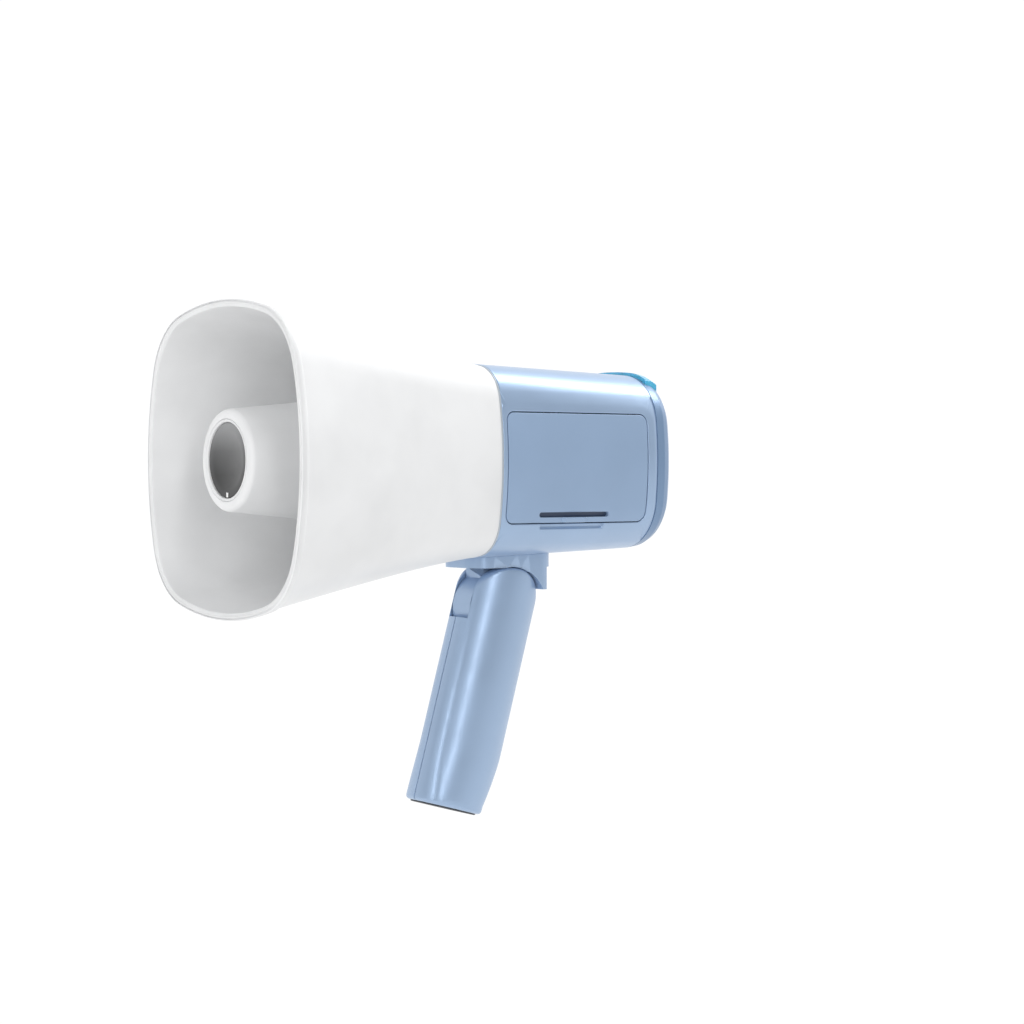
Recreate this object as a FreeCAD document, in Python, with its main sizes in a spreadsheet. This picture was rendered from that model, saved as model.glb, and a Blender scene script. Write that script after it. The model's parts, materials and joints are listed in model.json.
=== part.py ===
import FreeCAD, Part
import math
import os
import types

import Sketcher
from FreeCAD import Placement, Rotation, Vector

# Handheld megaphone. Millimetres, +Z up. The origin is the centre of the mouth, on the axis
# of the horn: the mouth faces -Y, the body lies behind it along +Y, the handle hangs below.

SIZES = {
    # horn bell: a flared tube with a rounded-square section
    "mouth_half_width": 58.8,
    "mouth_half_height": 59.8,
    "bell_length": 105.0,
    "bell_wall": 2.0,
    "flare_power": 1.28,
    "mouth_side_ratio": 2.2,
    "mouth_corner_ratio": 0.5,
    "bead_step": 0.8,
    "bead_depth": 3.5,
    "bead_chamfer": 0.6,
    "rear_chamber_depth": 23.0,
    "back_wall_thickness": 2.5,
    "spigot_length": 3.5,
    "spigot_wall": 1.8,
    "seam_width": 0.6,
    "fit_gap": 0.15,
    # body shell behind the bell
    "body_half_width": 36.6,
    "body_half_height": 39.5,
    "body_length": 79.9,
    "body_wall": 2.2,
    "body_side_ratio": 4.0,
    "body_corner_ratio": 0.45,
    "body_rear_corner_ratio": 0.62,
    "body_side_taper": 1.2,
    "body_top_taper": 2.6,
    # rear cap and its recessed panel
    "cap_length": 9.1,
    "cap_rounding": 5.0,
    "panel_depth": 4.0,
    "panel_thickness": 2.0,
    "panel_side_border": 7.4,
    "panel_end_border": 6.4,
    "panel_corner": 16.0,
    "cap_screw_x": 16.0,
    "cap_screw_inset": 3.5,
    "cap_rib_half": 1.0,
    "cap_boss_radius": 3.0,
    "cap_boss_length": 14.0,
    # reflector cup, hanging in the mouth on the throat tube
    "cup_front": 2.3,
    "cup_chamfer": 2.2,
    "cup_face_radius": 17.4,
    "cup_front_radius": 19.6,
    "cup_slope": 0.0974,
    "cup_rear_gap": 16.0,
    "cup_wall": 1.8,
    "cup_recess_radius": 14.4,
    "cup_recess_depth": 7.0,
    "cup_floor": 2.4,
    "bezel_depth": 3.0,
    "bezel_step": 1.2,
    "disc_thickness": 1.6,
    "disc_sink": 0.8,
    "disc_skirt": 1.0,
    "disc_rim": 3.0,
    "disc_dish": 1.0,
    "tick_width": 1.2,
    "tick_height": 1.8,
    "tick_relief": 0.25,
    "throat_front": 24.0,
    "throat_front_radius": 11.0,
    "throat_rear_radius": 7.5,
    "throat_wall": 1.8,
    "throat_flange_radius": 24.0,
    "throat_flange_thickness": 2.5,
    "vane_setback": 4.0,
    "vane_thickness": 4.4,
    "cup_screw_circle": 10.5,
    # compression driver on the back wall
    "gasket_thickness": 1.0,
    "driver_radius": 27.0,
    "driver_frame_depth": 6.5,
    "diaphragm_radius": 16.0,
    "diaphragm_height": 3.0,
    "diaphragm_thickness": 0.5,
    "coil_radius": 12.5,
    "coil_thickness": 0.8,
    "coil_depth": 4.0,
    "magnet_radius": 19.5,
    "magnet_depth": 9.0,
    "magnet_bore": 13.6,
    "pole_radius": 11.4,
    "back_plate_depth": 3.0,
    "driver_screw_inset": 3.6,
    "diaphragm_gap": 1.0,
    "pole_gap": 1.0,
    # battery bay on the +X side
    "cover_setback": 2.4,
    "cover_rear_margin": 5.5,
    "cover_margin": 3.1,
    "cover_corner": 3.5,
    "cover_gap": 0.35,
    "tongue_slot_length": 35.8,
    "tongue_slot_height": 2.0,
    "tongue_slot_rise": 3.2,
    "latch_length": 11.7,
    "latch_height": 2.6,
    "latch_relief": 1.3,
    "latch_offset": -1.6,
    "recess_length": 33.5,
    "recess_height": 2.4,
    "recess_depth": 1.6,
    "lip_width": 8.0,
    "lip_height": 3.0,
    "lip_thickness": 1.5,
    "lip_inset": 16.0,
    "lip_spacing": 40.0,
    "tray_base_gap": 0.2,
    "tray_edge_depth": 4.0,
    "tray_wall": 1.4,
    "tray_setback": 1.2,
    "tray_clearance": 0.3,
    "cell_radius": 9.2,
    "cell_length": 65.0,
    "cell_cover_gap": 4.1,
    "cell_z": -2.8,
    "cell_gap": 0.8,
    "cell_cap_height": 1.0,
    "terminal_radius": 3.0,
    "contact_thickness": 1.4,
    "spring_length": 1.6,
    # main board on the -X side
    "board_wall_gap": 12.6,
    "board_thickness": 1.6,
    "board_setback": 8.4,
    "board_length": 62.0,
    "board_half_height": 24.0,
    "board_screw_inset": 4.0,
    "board_post_radius": 2.8,
    "chip_length": 16.0,
    "chip_height": 11.0,
    "chip_depth": 3.0,
    "heat_fin_depth": 7.0,
    "capacitor_radius": 5.0,
    "capacitor_length": 11.0,
    "capacitor_reach": 17.5,
    "capacitor_rise": 10.0,
    "terminal_block_length": 12.0,
    "terminal_block_height": 8.0,
    # controls on the rear panel
    "control_setback": 3.5,
    "control_half_height": 22.5,
    "control_post_radius": 2.4,
    "control_post_inset_x": 3.0,
    "control_post_inset_z": 4.0,
    "key_radius": 3.8,
    "key_gap": 0.3,
    "key_relief": 1.4,
    "key_travel": 1.0,
    "key_flange": 1.0,
    "siren_x": 9.0,
    "record_x": 19.5,
    "key_z": -5.0,
    "switch_half": 3.0,
    "switch_height": 2.6,
    "knob_x": -15.0,
    "knob_z": -6.0,
    "knob_radius": 7.5,
    "knob_height": 4.2,
    "knob_float": 0.4,
    "shaft_radius": 3.0,
    "pot_half": 7.0,
    "pot_depth": 4.6,
    "grille_z": 14.0,
    "grille_radius": 9.0,
    "grille_thickness": 1.6,
    "grille_slot": 1.2,
    "grille_pitch": 2.6,
    "grille_slot_corner": 0.48,
    "capsule_radius": 5.0,
    "capsule_length": 5.0,
    "slider_x": 14.0,
    "slider_z": -18.0,
    "slider_length": 6.0,
    "slider_height": 3.6,
    "slider_travel": 5.0,
    "slider_gap": 0.3,
    "slider_relief": 1.8,
    "lens_x": 20.0,
    "lens_z": 7.0,
    "lens_radius": 1.6,
    "charge_x": -2.5,
    "charge_z": -19.0,
    "charge_half_width": 4.5,
    "charge_half_height": 1.6,
    "charge_shell": 0.4,
    "charge_depth": 6.5,
    "charge_floor": 1.0,
    "jack_x": -17.5,
    "jack_z": -20.0,
    "jack_bore": 1.78,
    "jack_nose_radius": 3.4,
    "jack_length": 11.0,
    "jack_barrel_radius": 2.4,
    "jack_end_wall": 1.0,
    "jack_board_gap": 1.0,
    # talk button on the top rear edge
    "talk_half_width": 25.0,
    "talk_setback": 1.7,
    "talk_length": 6.0,
    "talk_thickness": 1.4,
    "talk_relief": 1.4,
    "talk_travel": 1.2,
    "talk_gap": 0.3,
    "talk_ledge": 1.1,
    "talk_pocket_depth": 11.0,
    "talk_stem_radius": 1.5,
    # saddle bracket and fold hinge
    "pivot_setback": 18.0,
    "pivot_drop": 0.1,
    "ear_margin": 0.2,
    "hinge_gap": 0.4,
    "knuckle_step": 1.4,
    "lug_half_width": 6.0,
    "neck_half_length": 9.0,
    "saddle_setback": 2.9,
    "saddle_length": 40.9,
    "saddle_corner": 9.0,
    "saddle_drop": 3.7,
    "saddle_overlap": 2.9,
    "skirt_length": 14.8,
    "skirt_tip_inset": 4.4,
    "skirt_shoulder_rise": 0.2,
    "seat_thickness": 1.8,
    "saddle_screw_x": 9.5,
    "saddle_screw_inset": 4.5,
    "pin_radius": 2.5,
    "pin_running_gap": 0.05,
    "pin_head_radius": 4.2,
    "pin_head_depth": 2.0,
    "pin_end_gap": 1.0,
    "pin_blind_wall": 2.4,
    "ball_radius": 1.8,
    # handle, in its own frame: origin on the pivot, -Z down the grip
    "lean": 16.0,
    "grip_half_width": 14.0,
    "grip_half_depth": 17.0,
    "grip_length": 83.0,
    "grip_foot_taper": 1.5,
    "heel_height": 24.0,
    "heel_taper": 4.0,
    "grip_edge": 1.2,
    "groove_half": 0.25,
    "groove_depth": 0.4,
    "grip_side_ratio": 1.5,
    "grip_corner_ratio": 0.62,
    "grip_wall": 2.2,
    "grip_cavity_drop": 6.8,
    "slot_front_drop": 7.5,
    "slot_rear_length": 8.5,
    "slot_rear_z": 9.0,
    "grip_screw_drop": 10.0,
    "grip_screw_margin": 45.0,
    "grip_boss_radius": 3.4,
    "foot_inset": 2.2,
    "foot_relief": 0.6,
    "foot_plug": 3.0,
    # small screws
    "screw_radius": 1.4,
    "screw_head_radius": 2.6,
    "screw_head_depth": 1.8,
    "screw_head_sink": 0.9,
}

MARGIN = 10.0       # how far a large cutting tool runs past what it cuts
OVER = 1.0          # and a small one
DIAGONAL = math.sqrt(0.5)
KNOB_FLUTES = 18
GRILLE_ROWS = 5
GRILLE_FILL = 0.8       # share of the grille's radius that its middle slot reaches
GRILLE_TAPER = 0.08     # and how much less each further slot reaches, by its place squared

os.makedirs("parts", exist_ok=True)
doc = FreeCAD.newDocument("Megaphone")
sheet = doc.addObject("Spreadsheet::Sheet", "Sizes")


class Size:
    """A value from the sheet, or a formula of such values, that properties can be bound to."""

    def __init__(self, value, formula):
        self.value = float(value)
        self.formula = formula

    def __add__(self, other):
        other = as_size(other)
        return Size(self.value + other.value, f"({self.formula} + {other.formula})")

    def __sub__(self, other):
        other = as_size(other)
        return Size(self.value - other.value, f"({self.formula} - {other.formula})")

    def __mul__(self, other):
        other = as_size(other)
        return Size(self.value * other.value, f"({self.formula} * {other.formula})")

    def __truediv__(self, other):
        other = as_size(other)
        return Size(self.value / other.value, f"({self.formula} / {other.formula})")

    def __pow__(self, other):
        other = as_size(other)
        return Size(self.value ** other.value, f"({self.formula} ^ {other.formula})")

    def __radd__(self, other):
        return as_size(other) + self

    def __rsub__(self, other):
        return as_size(other) - self

    def __rmul__(self, other):
        return as_size(other) * self

    def __neg__(self):
        return self * -1


def as_size(value):
    """Plain numbers become sizes too, so that formulas can mix the two."""
    return value if isinstance(value, Size) else Size(value, f"({float(value):.6f})")


def smaller(first, second):
    return Size(min(first.value, second.value), f"min({first.formula}; {second.formula})")


def fill_sheet():
    """Write every size into the sheet and return them under their names."""
    for row, (name, value) in enumerate(SIZES.items(), start=1):
        sheet.set(f"A{row}", name)
        sheet.set(f"B{row}", str(value))
        sheet.setAlias(f"B{row}", name)
    doc.recompute()
    named = {name: Size(value, f"Sizes.{name}") for name, value in SIZES.items()}
    return types.SimpleNamespace(**named)


dim = fill_sheet()

# what follows from the sizes: the places along the axis, then across it
body_start = dim.bell_length + dim.seam_width
body_end = body_start + dim.body_length
cap_end = body_end + dim.cap_length
panel_face = cap_end - dim.panel_depth
panel_back = panel_face - dim.panel_thickness
dim.back_wall_depth = dim.bell_length - dim.rear_chamber_depth
dim.cup_rear = dim.back_wall_depth - dim.cup_rear_gap
dim.vane_front = dim.cup_front + dim.cup_recess_depth + dim.cup_floor
dim.vane_rear = dim.cup_rear - dim.vane_setback
dim.driver_screw_circle = dim.driver_radius - dim.driver_screw_inset
dim.cover_front = body_start + dim.cover_setback
dim.cover_rear = body_end - dim.cover_rear_margin
dim.latch_y = (dim.cover_front + dim.cover_rear) / 2 + dim.latch_offset
dim.lip_y = dim.cover_front + dim.lip_inset
dim.tray_front = dim.cover_front + dim.tray_setback
dim.board_front = body_start + dim.board_setback
dim.control_y = body_end - dim.control_setback
dim.talk_front = body_end + dim.talk_setback
dim.saddle_front = body_start + dim.saddle_setback
dim.saddle_rear = dim.saddle_front + dim.saddle_length
dim.pivot_y = dim.saddle_front + dim.pivot_setback
dim.skirt_tip = dim.saddle_rear - dim.skirt_tip_inset
dim.cell_x = dim.body_half_width - dim.cell_cover_gap - dim.cell_radius
dim.cell_spacing = dim.cell_radius * 2 + dim.cell_gap
dim.tray_edge = dim.cell_x + dim.cell_radius - dim.tray_edge_depth
dim.tray_back = dim.cell_x - dim.cell_radius - dim.tray_wall - dim.tray_base_gap
dim.cover_top = dim.cell_z + dim.cell_spacing / 2 + dim.cell_radius + dim.cover_margin
dim.cover_bottom = dim.cell_z - dim.cell_spacing / 2 - dim.cell_radius - dim.cover_margin
dim.tongue_slot_z = dim.cover_bottom + dim.tongue_slot_rise
dim.board_x = dim.board_wall_gap - dim.body_half_width
dim.panel_half_width = dim.body_half_width - dim.body_side_taper - dim.panel_side_border
dim.panel_half_height = dim.body_half_height - dim.body_top_taper - dim.panel_end_border
dim.cap_screw_z = dim.panel_half_height - dim.cap_screw_inset
dim.control_half_width = dim.panel_half_width
dim.control_post_x = dim.control_half_width - dim.control_post_inset_x
dim.control_post_z = dim.control_half_height - dim.control_post_inset_z
dim.ear_radius = dim.grip_half_depth + dim.ear_margin
dim.knuckle_radius = dim.ear_radius - dim.knuckle_step
dim.saddle_half_width = dim.grip_half_width
dim.saddle_bottom = -dim.body_half_height - dim.saddle_drop
dim.saddle_top = dim.saddle_overlap - dim.body_half_height
dim.skirt_bottom = dim.saddle_bottom - dim.skirt_length
dim.skirt_shoulder = dim.saddle_bottom + dim.skirt_shoulder_rise
dim.pivot_z = dim.saddle_bottom - dim.ear_radius - dim.pivot_drop
dim.grip_cavity_top = -dim.ear_radius - dim.grip_cavity_drop
dim.grip_screw_top = dim.grip_cavity_top - dim.grip_screw_drop
dim.grip_screw_spacing = dim.grip_length - dim.grip_screw_margin
parts = []


# ---------------------------------------------------------------- building blocks

SKETCH_TURN = {
    "X": Rotation(Vector(1, 1, 1), 120),    # drawn in Y and Z
    "Y": Rotation(Vector(1, 0, 0), 90),     # drawn in X and Z
    "Z": Rotation(),                        # drawn in X and Y
}
ROD_TURN = {
    "X": Rotation(Vector(0, 1, 0), 90),
    "Y": Rotation(Vector(1, 0, 0), -90),
    "Z": Rotation(),
}
DIRECTION = {"X": Vector(1, 0, 0), "Y": Vector(0, 1, 0), "Z": Vector(0, 0, 1)}


def bind(thing, name, size):
    thing.setExpression(name, as_size(size).formula)


def move(thing, x=0, y=0, z=0, turn=None):
    """Place a thing, each coordinate bound to its size."""
    thing.Placement = Placement(Vector(), turn or Rotation())
    for axis, size in zip("xyz", (x, y, z)):
        bind(thing, f"Placement.Base.{axis}", size)
    return thing


def keep(thing, label):
    """Mark a thing as one of the sub-parts that are written out."""
    thing.Label = label
    parts.append(thing)
    return thing


def box(name, x, y, z):
    """A block between two bounds on each axis."""
    block = doc.addObject("Part::Box", name)
    for side, (low, high) in zip(("Length", "Width", "Height"), (x, y, z)):
        bind(block, side, as_size(high) - low)
    return move(block, x[0], y[0], z[0])


def rod(name, axis, radius, low, high, across=(0, 0)):
    """A cylinder along an axis, from low to high; across is its place on the other two."""
    cylinder = doc.addObject("Part::Cylinder", name)
    bind(cylinder, "Radius", radius)
    bind(cylinder, "Height", as_size(high) - low)
    place = list(across)
    place.insert("XYZ".index(axis), low)
    return move(cylinder, *place, turn=ROD_TURN[axis])


def cone(name, axis, low_radius, high_radius, low, high, across=(0, 0)):
    frustum = doc.addObject("Part::Cone", name)
    bind(frustum, "Radius1", low_radius)
    bind(frustum, "Radius2", high_radius)
    bind(frustum, "Height", as_size(high) - low)
    place = list(across)
    place.insert("XYZ".index(axis), low)
    return move(frustum, *place, turn=ROD_TURN[axis])


def fuse(name, *shapes):
    result = doc.addObject("Part::MultiFuse", name)
    result.Shapes = list(shapes)
    result.Refine = True
    return result


def cut(name, base, *tools):
    """Take the tools away from the base."""
    result = doc.addObject("Part::Cut", name)
    result.Base = base
    result.Tool = tools[0] if len(tools) == 1 else fuse(f"{name}_tools", *tools)
    result.Refine = True
    return result


def common(name, *shapes):
    result = doc.addObject("Part::MultiCommon", name)
    result.Shapes = list(shapes)
    result.Refine = True
    return result


def group(name, *shapes):
    """Separate solids that share one node, such as a set of screws."""
    result = doc.addObject("Part::Compound", name)
    result.Links = list(shapes)
    return result


def dimension(sketch, kind, *place, size):
    """One driving constraint, bound to a size."""
    number = sketch.addConstraint(Sketcher.Constraint(kind, *place, size.value))
    sketch.setExpression(f"Constraints[{number}]", size.formula)


def new_sketch(name, axis, offset):
    sketch = doc.addObject("Sketcher::SketchObject", name)
    place = {"x": 0, "y": 0, "z": 0}
    place[axis.lower()] = offset
    return move(sketch, **place, turn=SKETCH_TURN[axis])


def arc(x, y, radius, start, end):
    return Part.ArcOfCircle(Part.Circle(Vector(x, y, 0), Vector(0, 0, 1), radius), start, end)


def corner_centre(width, height, side, crown, corner):
    """Where a corner arc sits so that it is tangent to the side arc and to the crown arc."""
    x = width - corner
    y = height - corner
    for _ in range(40):
        to_side = Vector(x - (width - side), y, 0)
        to_crown = Vector(x, y - (height - crown), 0)
        miss_side = to_side.Length - (side - corner)
        miss_crown = to_crown.Length - (crown - corner)
        to_side.normalize()
        to_crown.normalize()
        spread = to_side.x * to_crown.y - to_side.y * to_crown.x
        x -= (to_crown.y * miss_side - to_side.y * miss_crown) / spread
        y -= (to_side.x * miss_crown - to_crown.x * miss_side) / spread
    return x, y


def rounded_section(name, axis, offset, half_width, half_height, side_ratio, corner_ratio):
    """A closed rounded-square section of eight tangent arcs: four gently bowed sides and four
    corners. The bow of a side is its half size times side_ratio."""
    sketch = new_sketch(name, axis, offset)
    side = half_width * side_ratio
    crown = half_height * side_ratio
    corner = smaller(half_width, half_height) * corner_ratio
    w, h, s, c, r = (size.value for size in (half_width, half_height, side, crown, corner))
    x, y = corner_centre(w, h, s, c, r)
    low = Vector(x - (w - s), y, 0).getAngle(Vector(1, 0, 0))
    high = Vector(x, y - (h - c), 0).getAngle(Vector(1, 0, 0))
    half_turn = Vector(1, 0, 0).getAngle(Vector(-1, 0, 0))
    sketch.addGeometry([
        arc(w - s, 0, s, -low, low),
        arc(x, y, r, low, high),
        arc(0, h - c, c, high, half_turn - high),
        arc(-x, y, r, half_turn - high, half_turn - low),
        arc(s - w, 0, s, half_turn - low, half_turn + low),
        arc(-x, -y, r, half_turn + low, half_turn + high),
        arc(0, c - h, c, half_turn + high, 2 * half_turn - high),
        arc(x, -y, r, -high, -low),
    ], False)
    link = Sketcher.Constraint
    sketch.addConstraint([link("Tangent", i, 2, (i + 1) % 8, 1) for i in range(8)])
    sketch.addConstraint([link("PointOnObject", i, 3, -1) for i in (0, 4)])
    sketch.addConstraint([link("PointOnObject", i, 3, -2) for i in (2, 6)])
    sketch.addConstraint([link("Equal", 0, 4), link("Equal", 2, 6)])
    sketch.addConstraint([link("Equal", 1, i) for i in (3, 5, 7)])
    dimension(sketch, "Radius", 0, size=side)
    dimension(sketch, "Radius", 2, size=crown)
    dimension(sketch, "Radius", 1, size=corner)
    dimension(sketch, "DistanceX", 0, 3, -1, 1, size=side - half_width)
    dimension(sketch, "DistanceX", -1, 1, 4, 3, size=side - half_width)
    dimension(sketch, "DistanceY", 2, 3, -1, 1, size=crown - half_height)
    dimension(sketch, "DistanceY", -1, 1, 6, 3, size=crown - half_height)
    return sketch


def loft(name, sections, ruled=False):
    result = doc.addObject("Part::Loft", name)
    result.Sections = sections
    result.Solid = True
    result.Ruled = ruled
    return result


def rounded_block(name, axis, low, high, centre, half_sizes, radius):
    """A plate with rounded corners, drawn across the axis and extruded from low to high."""
    sketch = new_sketch(f"{name}_outline", axis, low)
    u, v = (as_size(size) for size in centre)
    a, b = (as_size(size) for size in half_sizes)
    corners = [(u + a, v + b), (u - a, v + b), (u - a, v - b), (u + a, v - b)]
    centres = [(u + a - radius, v + b - radius), (u - a + radius, v + b - radius),
               (u - a + radius, v - b + radius), (u + a - radius, v - b + radius)]
    quarter = Vector(1, 0, 0).getAngle(Vector(0, 1, 0))
    r = radius.value
    ends = []
    for i, (x, y) in enumerate(centres):
        turn = Rotation(Vector(0, 0, 1), 90 * i)
        middle = Vector(x.value, y.value, 0)
        sketch.addGeometry(arc(middle.x, middle.y, r, quarter * i, quarter * (i + 1)), False)
        ends.append((middle + turn.multVec(Vector(r, 0, 0)), middle + turn.multVec(Vector(0, r, 0))))
    for i in range(4):
        sketch.addGeometry(Part.LineSegment(ends[i][1], ends[(i + 1) % 4][0]), False)
    link = Sketcher.Constraint
    for i in range(4):
        sketch.addConstraint(link("Tangent", i, 2, 4 + i, 1))
        sketch.addConstraint(link("Tangent", 4 + i, 2, (i + 1) % 4, 1))
    sketch.addConstraint([link("Equal", 0, i) for i in (1, 2)])
    sketch.addConstraint([link("Horizontal", 4), link("Vertical", 5), link("Vertical", 7)])
    dimension(sketch, "Radius", 0, size=radius)
    dimension(sketch, "DistanceX", -1, 1, 0, 3, size=centres[0][0])
    dimension(sketch, "DistanceY", -1, 1, 0, 3, size=centres[0][1])
    dimension(sketch, "DistanceX", 1, 3, 0, 3, size=centres[0][0] - centres[1][0])
    dimension(sketch, "DistanceY", 2, 3, 1, 3, size=centres[1][1] - centres[2][1])
    result = doc.addObject("Part::Extrusion", name)
    result.Base = sketch
    result.DirMode = "Custom"
    result.Dir = DIRECTION[axis]
    result.Solid = True
    bind(result, "LengthFwd", as_size(high) - low)
    return result


def origin_plane(body, role):
    return next(plane for plane in body.Origin.OriginFeatures if plane.Role == role)


def outline(body, role, points):
    """A closed outline of straight edges, in a body's own plane."""
    sketch = body.newObject("Sketcher::SketchObject", f"{body.Name}_outline")
    sketch.AttachmentSupport = [(origin_plane(body, role), "")]
    sketch.MapMode = "FlatFace"
    points = [(as_size(x), as_size(y)) for x, y in points]
    places = [Vector(x.value, y.value, 0) for x, y in points]
    following = places[1:] + places[:1]
    sketch.addGeometry([Part.LineSegment(a, b) for a, b in zip(places, following)], False)
    count = len(points)
    link = Sketcher.Constraint
    sketch.addConstraint([link("Coincident", i, 2, (i + 1) % count, 1) for i in range(count)])
    for i, (x, y) in enumerate(points):
        dimension(sketch, "DistanceX", -1, 1, i, 1, size=x)
        dimension(sketch, "DistanceY", -1, 1, i, 1, size=y)
    return sketch


def turned(name, profile, x=0, z=0):
    """A body turned about the Y direction; the profile is (y, radius) points."""
    body = doc.addObject("PartDesign::Body", name)
    doc.recompute()
    sketch = outline(body, "YZ_Plane", profile)
    feature = body.newObject("PartDesign::Revolution", f"{name}_turned")
    feature.Profile = sketch
    feature.ReferenceAxis = (sketch, ["H_Axis"])
    feature.Angle = 360
    return move(body, x=x, z=z)


def ring(name, inner, outer, low, high, x=0, z=0):
    return turned(name, [(low, inner), (low, outer), (high, outer), (high, inner)], x, z)


def screw(name, axis, head_at, tip_at, across):
    """A small screw: the head lies on the far side of head_at from the tip."""
    outward = 1 if head_at.value > tip_at.value else -1
    head_end = head_at + dim.screw_head_depth * outward
    bounds = sorted((head_at, head_end), key=lambda size: size.value)
    shank = sorted((head_at, tip_at), key=lambda size: size.value)
    head = rod(f"{name}_head", axis, dim.screw_head_radius, *bounds, across)
    return fuse(name, head, rod(f"{name}_shank", axis, dim.screw_radius, *shank, across))


# ---------------------------------------------------------------- shared form



def bell_section(name, y, inset):
    """The section of the bell at a depth behind the mouth, drawn in by inset."""
    along = y / dim.bell_length
    flare = (1 - along) ** dim.flare_power
    half_width = dim.body_half_width + (dim.mouth_half_width - dim.body_half_width) * flare
    half_height = dim.body_half_height + (dim.mouth_half_height - dim.body_half_height) * flare
    side_ratio = dim.body_side_ratio + (dim.mouth_side_ratio - dim.body_side_ratio) * flare
    corner_ratio = dim.body_corner_ratio
    corner_ratio = corner_ratio + (dim.mouth_corner_ratio - dim.body_corner_ratio) * flare
    return rounded_section(name, "Y", y, half_width - inset, half_height - inset,
                           side_ratio, corner_ratio)


def body_section(name, y, inset):
    """The section of the body shell, which tapers and grows rounder towards the rear."""
    along = (y - body_start) / dim.body_length
    half_width = dim.body_half_width - dim.body_side_taper * along
    half_height = dim.body_half_height - dim.body_top_taper * along
    rounding = dim.body_rear_corner_ratio - dim.body_corner_ratio
    return rounded_section(name, "Y", y, half_width - inset, half_height - inset,
                           dim.body_side_ratio, dim.body_corner_ratio + rounding * along)


def bell_solid(name, depths, inset):
    return loft(name, [bell_section(f"{name}_{i}", y, inset) for i, y in enumerate(depths)])


def body_solid(name, inset):
    ends = (body_start, body_end)
    return loft(name, [body_section(f"{name}_{i}", y, inset) for i, y in enumerate(ends)], ruled=True)


# ---------------------------------------------------------------- horn


def make_bell():
    """The flared bell, with a beaded rim, a back wall and a spigot that enters the body."""
    steps = 7
    outer = bell_solid("bell_outer", [dim.bell_length * (i / steps) for i in range(steps + 1)], as_size(0))
    bead_plan = [(as_size(0), dim.bead_chamfer), (dim.bead_chamfer, as_size(0)),
                 (dim.bead_depth - dim.bead_chamfer, as_size(0)), (dim.bead_depth, dim.bead_chamfer)]
    bead_sections = []
    for i, (y, inset) in enumerate(bead_plan):
        section = rounded_section(f"bead_{i}", "Y", y, dim.mouth_half_width + dim.bead_step - inset,
                                  dim.mouth_half_height + dim.bead_step - inset,
                                  dim.mouth_side_ratio, dim.mouth_corner_ratio)
        bead_sections.append(section)
    bead = loft("bell_bead", bead_sections, ruled=True)
    spigot_inset = dim.body_wall + dim.fit_gap
    spigot_end = dim.bell_length + dim.spigot_length
    spigot_ring = []
    for tag, inset in (("outer", spigot_inset), ("inner", spigot_inset + dim.spigot_wall)):
        sections = [rounded_section(f"spigot_{tag}_{i}", "Y", y, dim.body_half_width - inset,
                                    dim.body_half_height - inset, dim.body_side_ratio,
                                    dim.body_corner_ratio)
                    for i, y in enumerate((dim.bell_length - dim.spigot_length, spigot_end))]
        spigot_ring.append(loft(f"spigot_{tag}", sections))
    front_steps = 5
    front = [dim.back_wall_depth * (i / front_steps) for i in range(front_steps + 1)]
    front_hollow = bell_solid("bell_front_hollow", front, dim.bell_wall)
    wall_back = dim.back_wall_depth + dim.back_wall_thickness
    rear_end = dim.bell_length - dim.spigot_length
    rear_hollow = bell_solid("bell_rear_hollow", [wall_back, rear_end], dim.bell_wall + dim.fit_gap)
    bore = rod("bell_bore", "Y", dim.throat_rear_radius + dim.throat_wall + dim.fit_gap,
               dim.back_wall_depth - OVER, wall_back + OVER)
    holes = [rod(f"bell_driver_hole_{i}", "Y", dim.screw_radius, dim.back_wall_depth - OVER,
                 wall_back + OVER, place) for i, place in enumerate(driver_screw_places())]
    solid = fuse("bell_solid", outer, bead, spigot_ring[0])
    keep(cut("bell", solid, front_hollow, rear_hollow, spigot_ring[1], bore, *holes), "horn_bell")


def diagonal_places(circle):
    """Four places on a bolt circle, between the axes."""
    reach = circle * DIAGONAL
    return [(reach * across, reach * up) for across in (1, -1) for up in (1, -1)]


def driver_screw_places():
    return diagonal_places(dim.driver_screw_circle)


def make_seam():
    """A dark gasket that shows as a thin line between bell and body."""
    places = (dim.bell_length, body_start)
    inset = dim.body_wall
    outer = loft("seam_outer", [rounded_section(f"seam_outer_{i}", "Y", y, dim.body_half_width - dim.fit_gap,
                                                dim.body_half_height - dim.fit_gap,
                                                dim.body_side_ratio, dim.body_corner_ratio)
                                for i, y in enumerate(places)])
    inner = loft("seam_inner", [rounded_section(f"seam_inner_{i}", "Y", y, dim.body_half_width - inset,
                                                dim.body_half_height - inset,
                                                dim.body_side_ratio, dim.body_corner_ratio)
                                for i, y in enumerate(places)])
    keep(cut("seam", outer, inner), "seam_gasket")


def cup_radius(y):
    """Outer radius of the reflector cup, which widens evenly towards its open rear."""
    return dim.cup_front_radius + dim.cup_slope * (y - dim.cup_front - dim.cup_chamfer)


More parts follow.
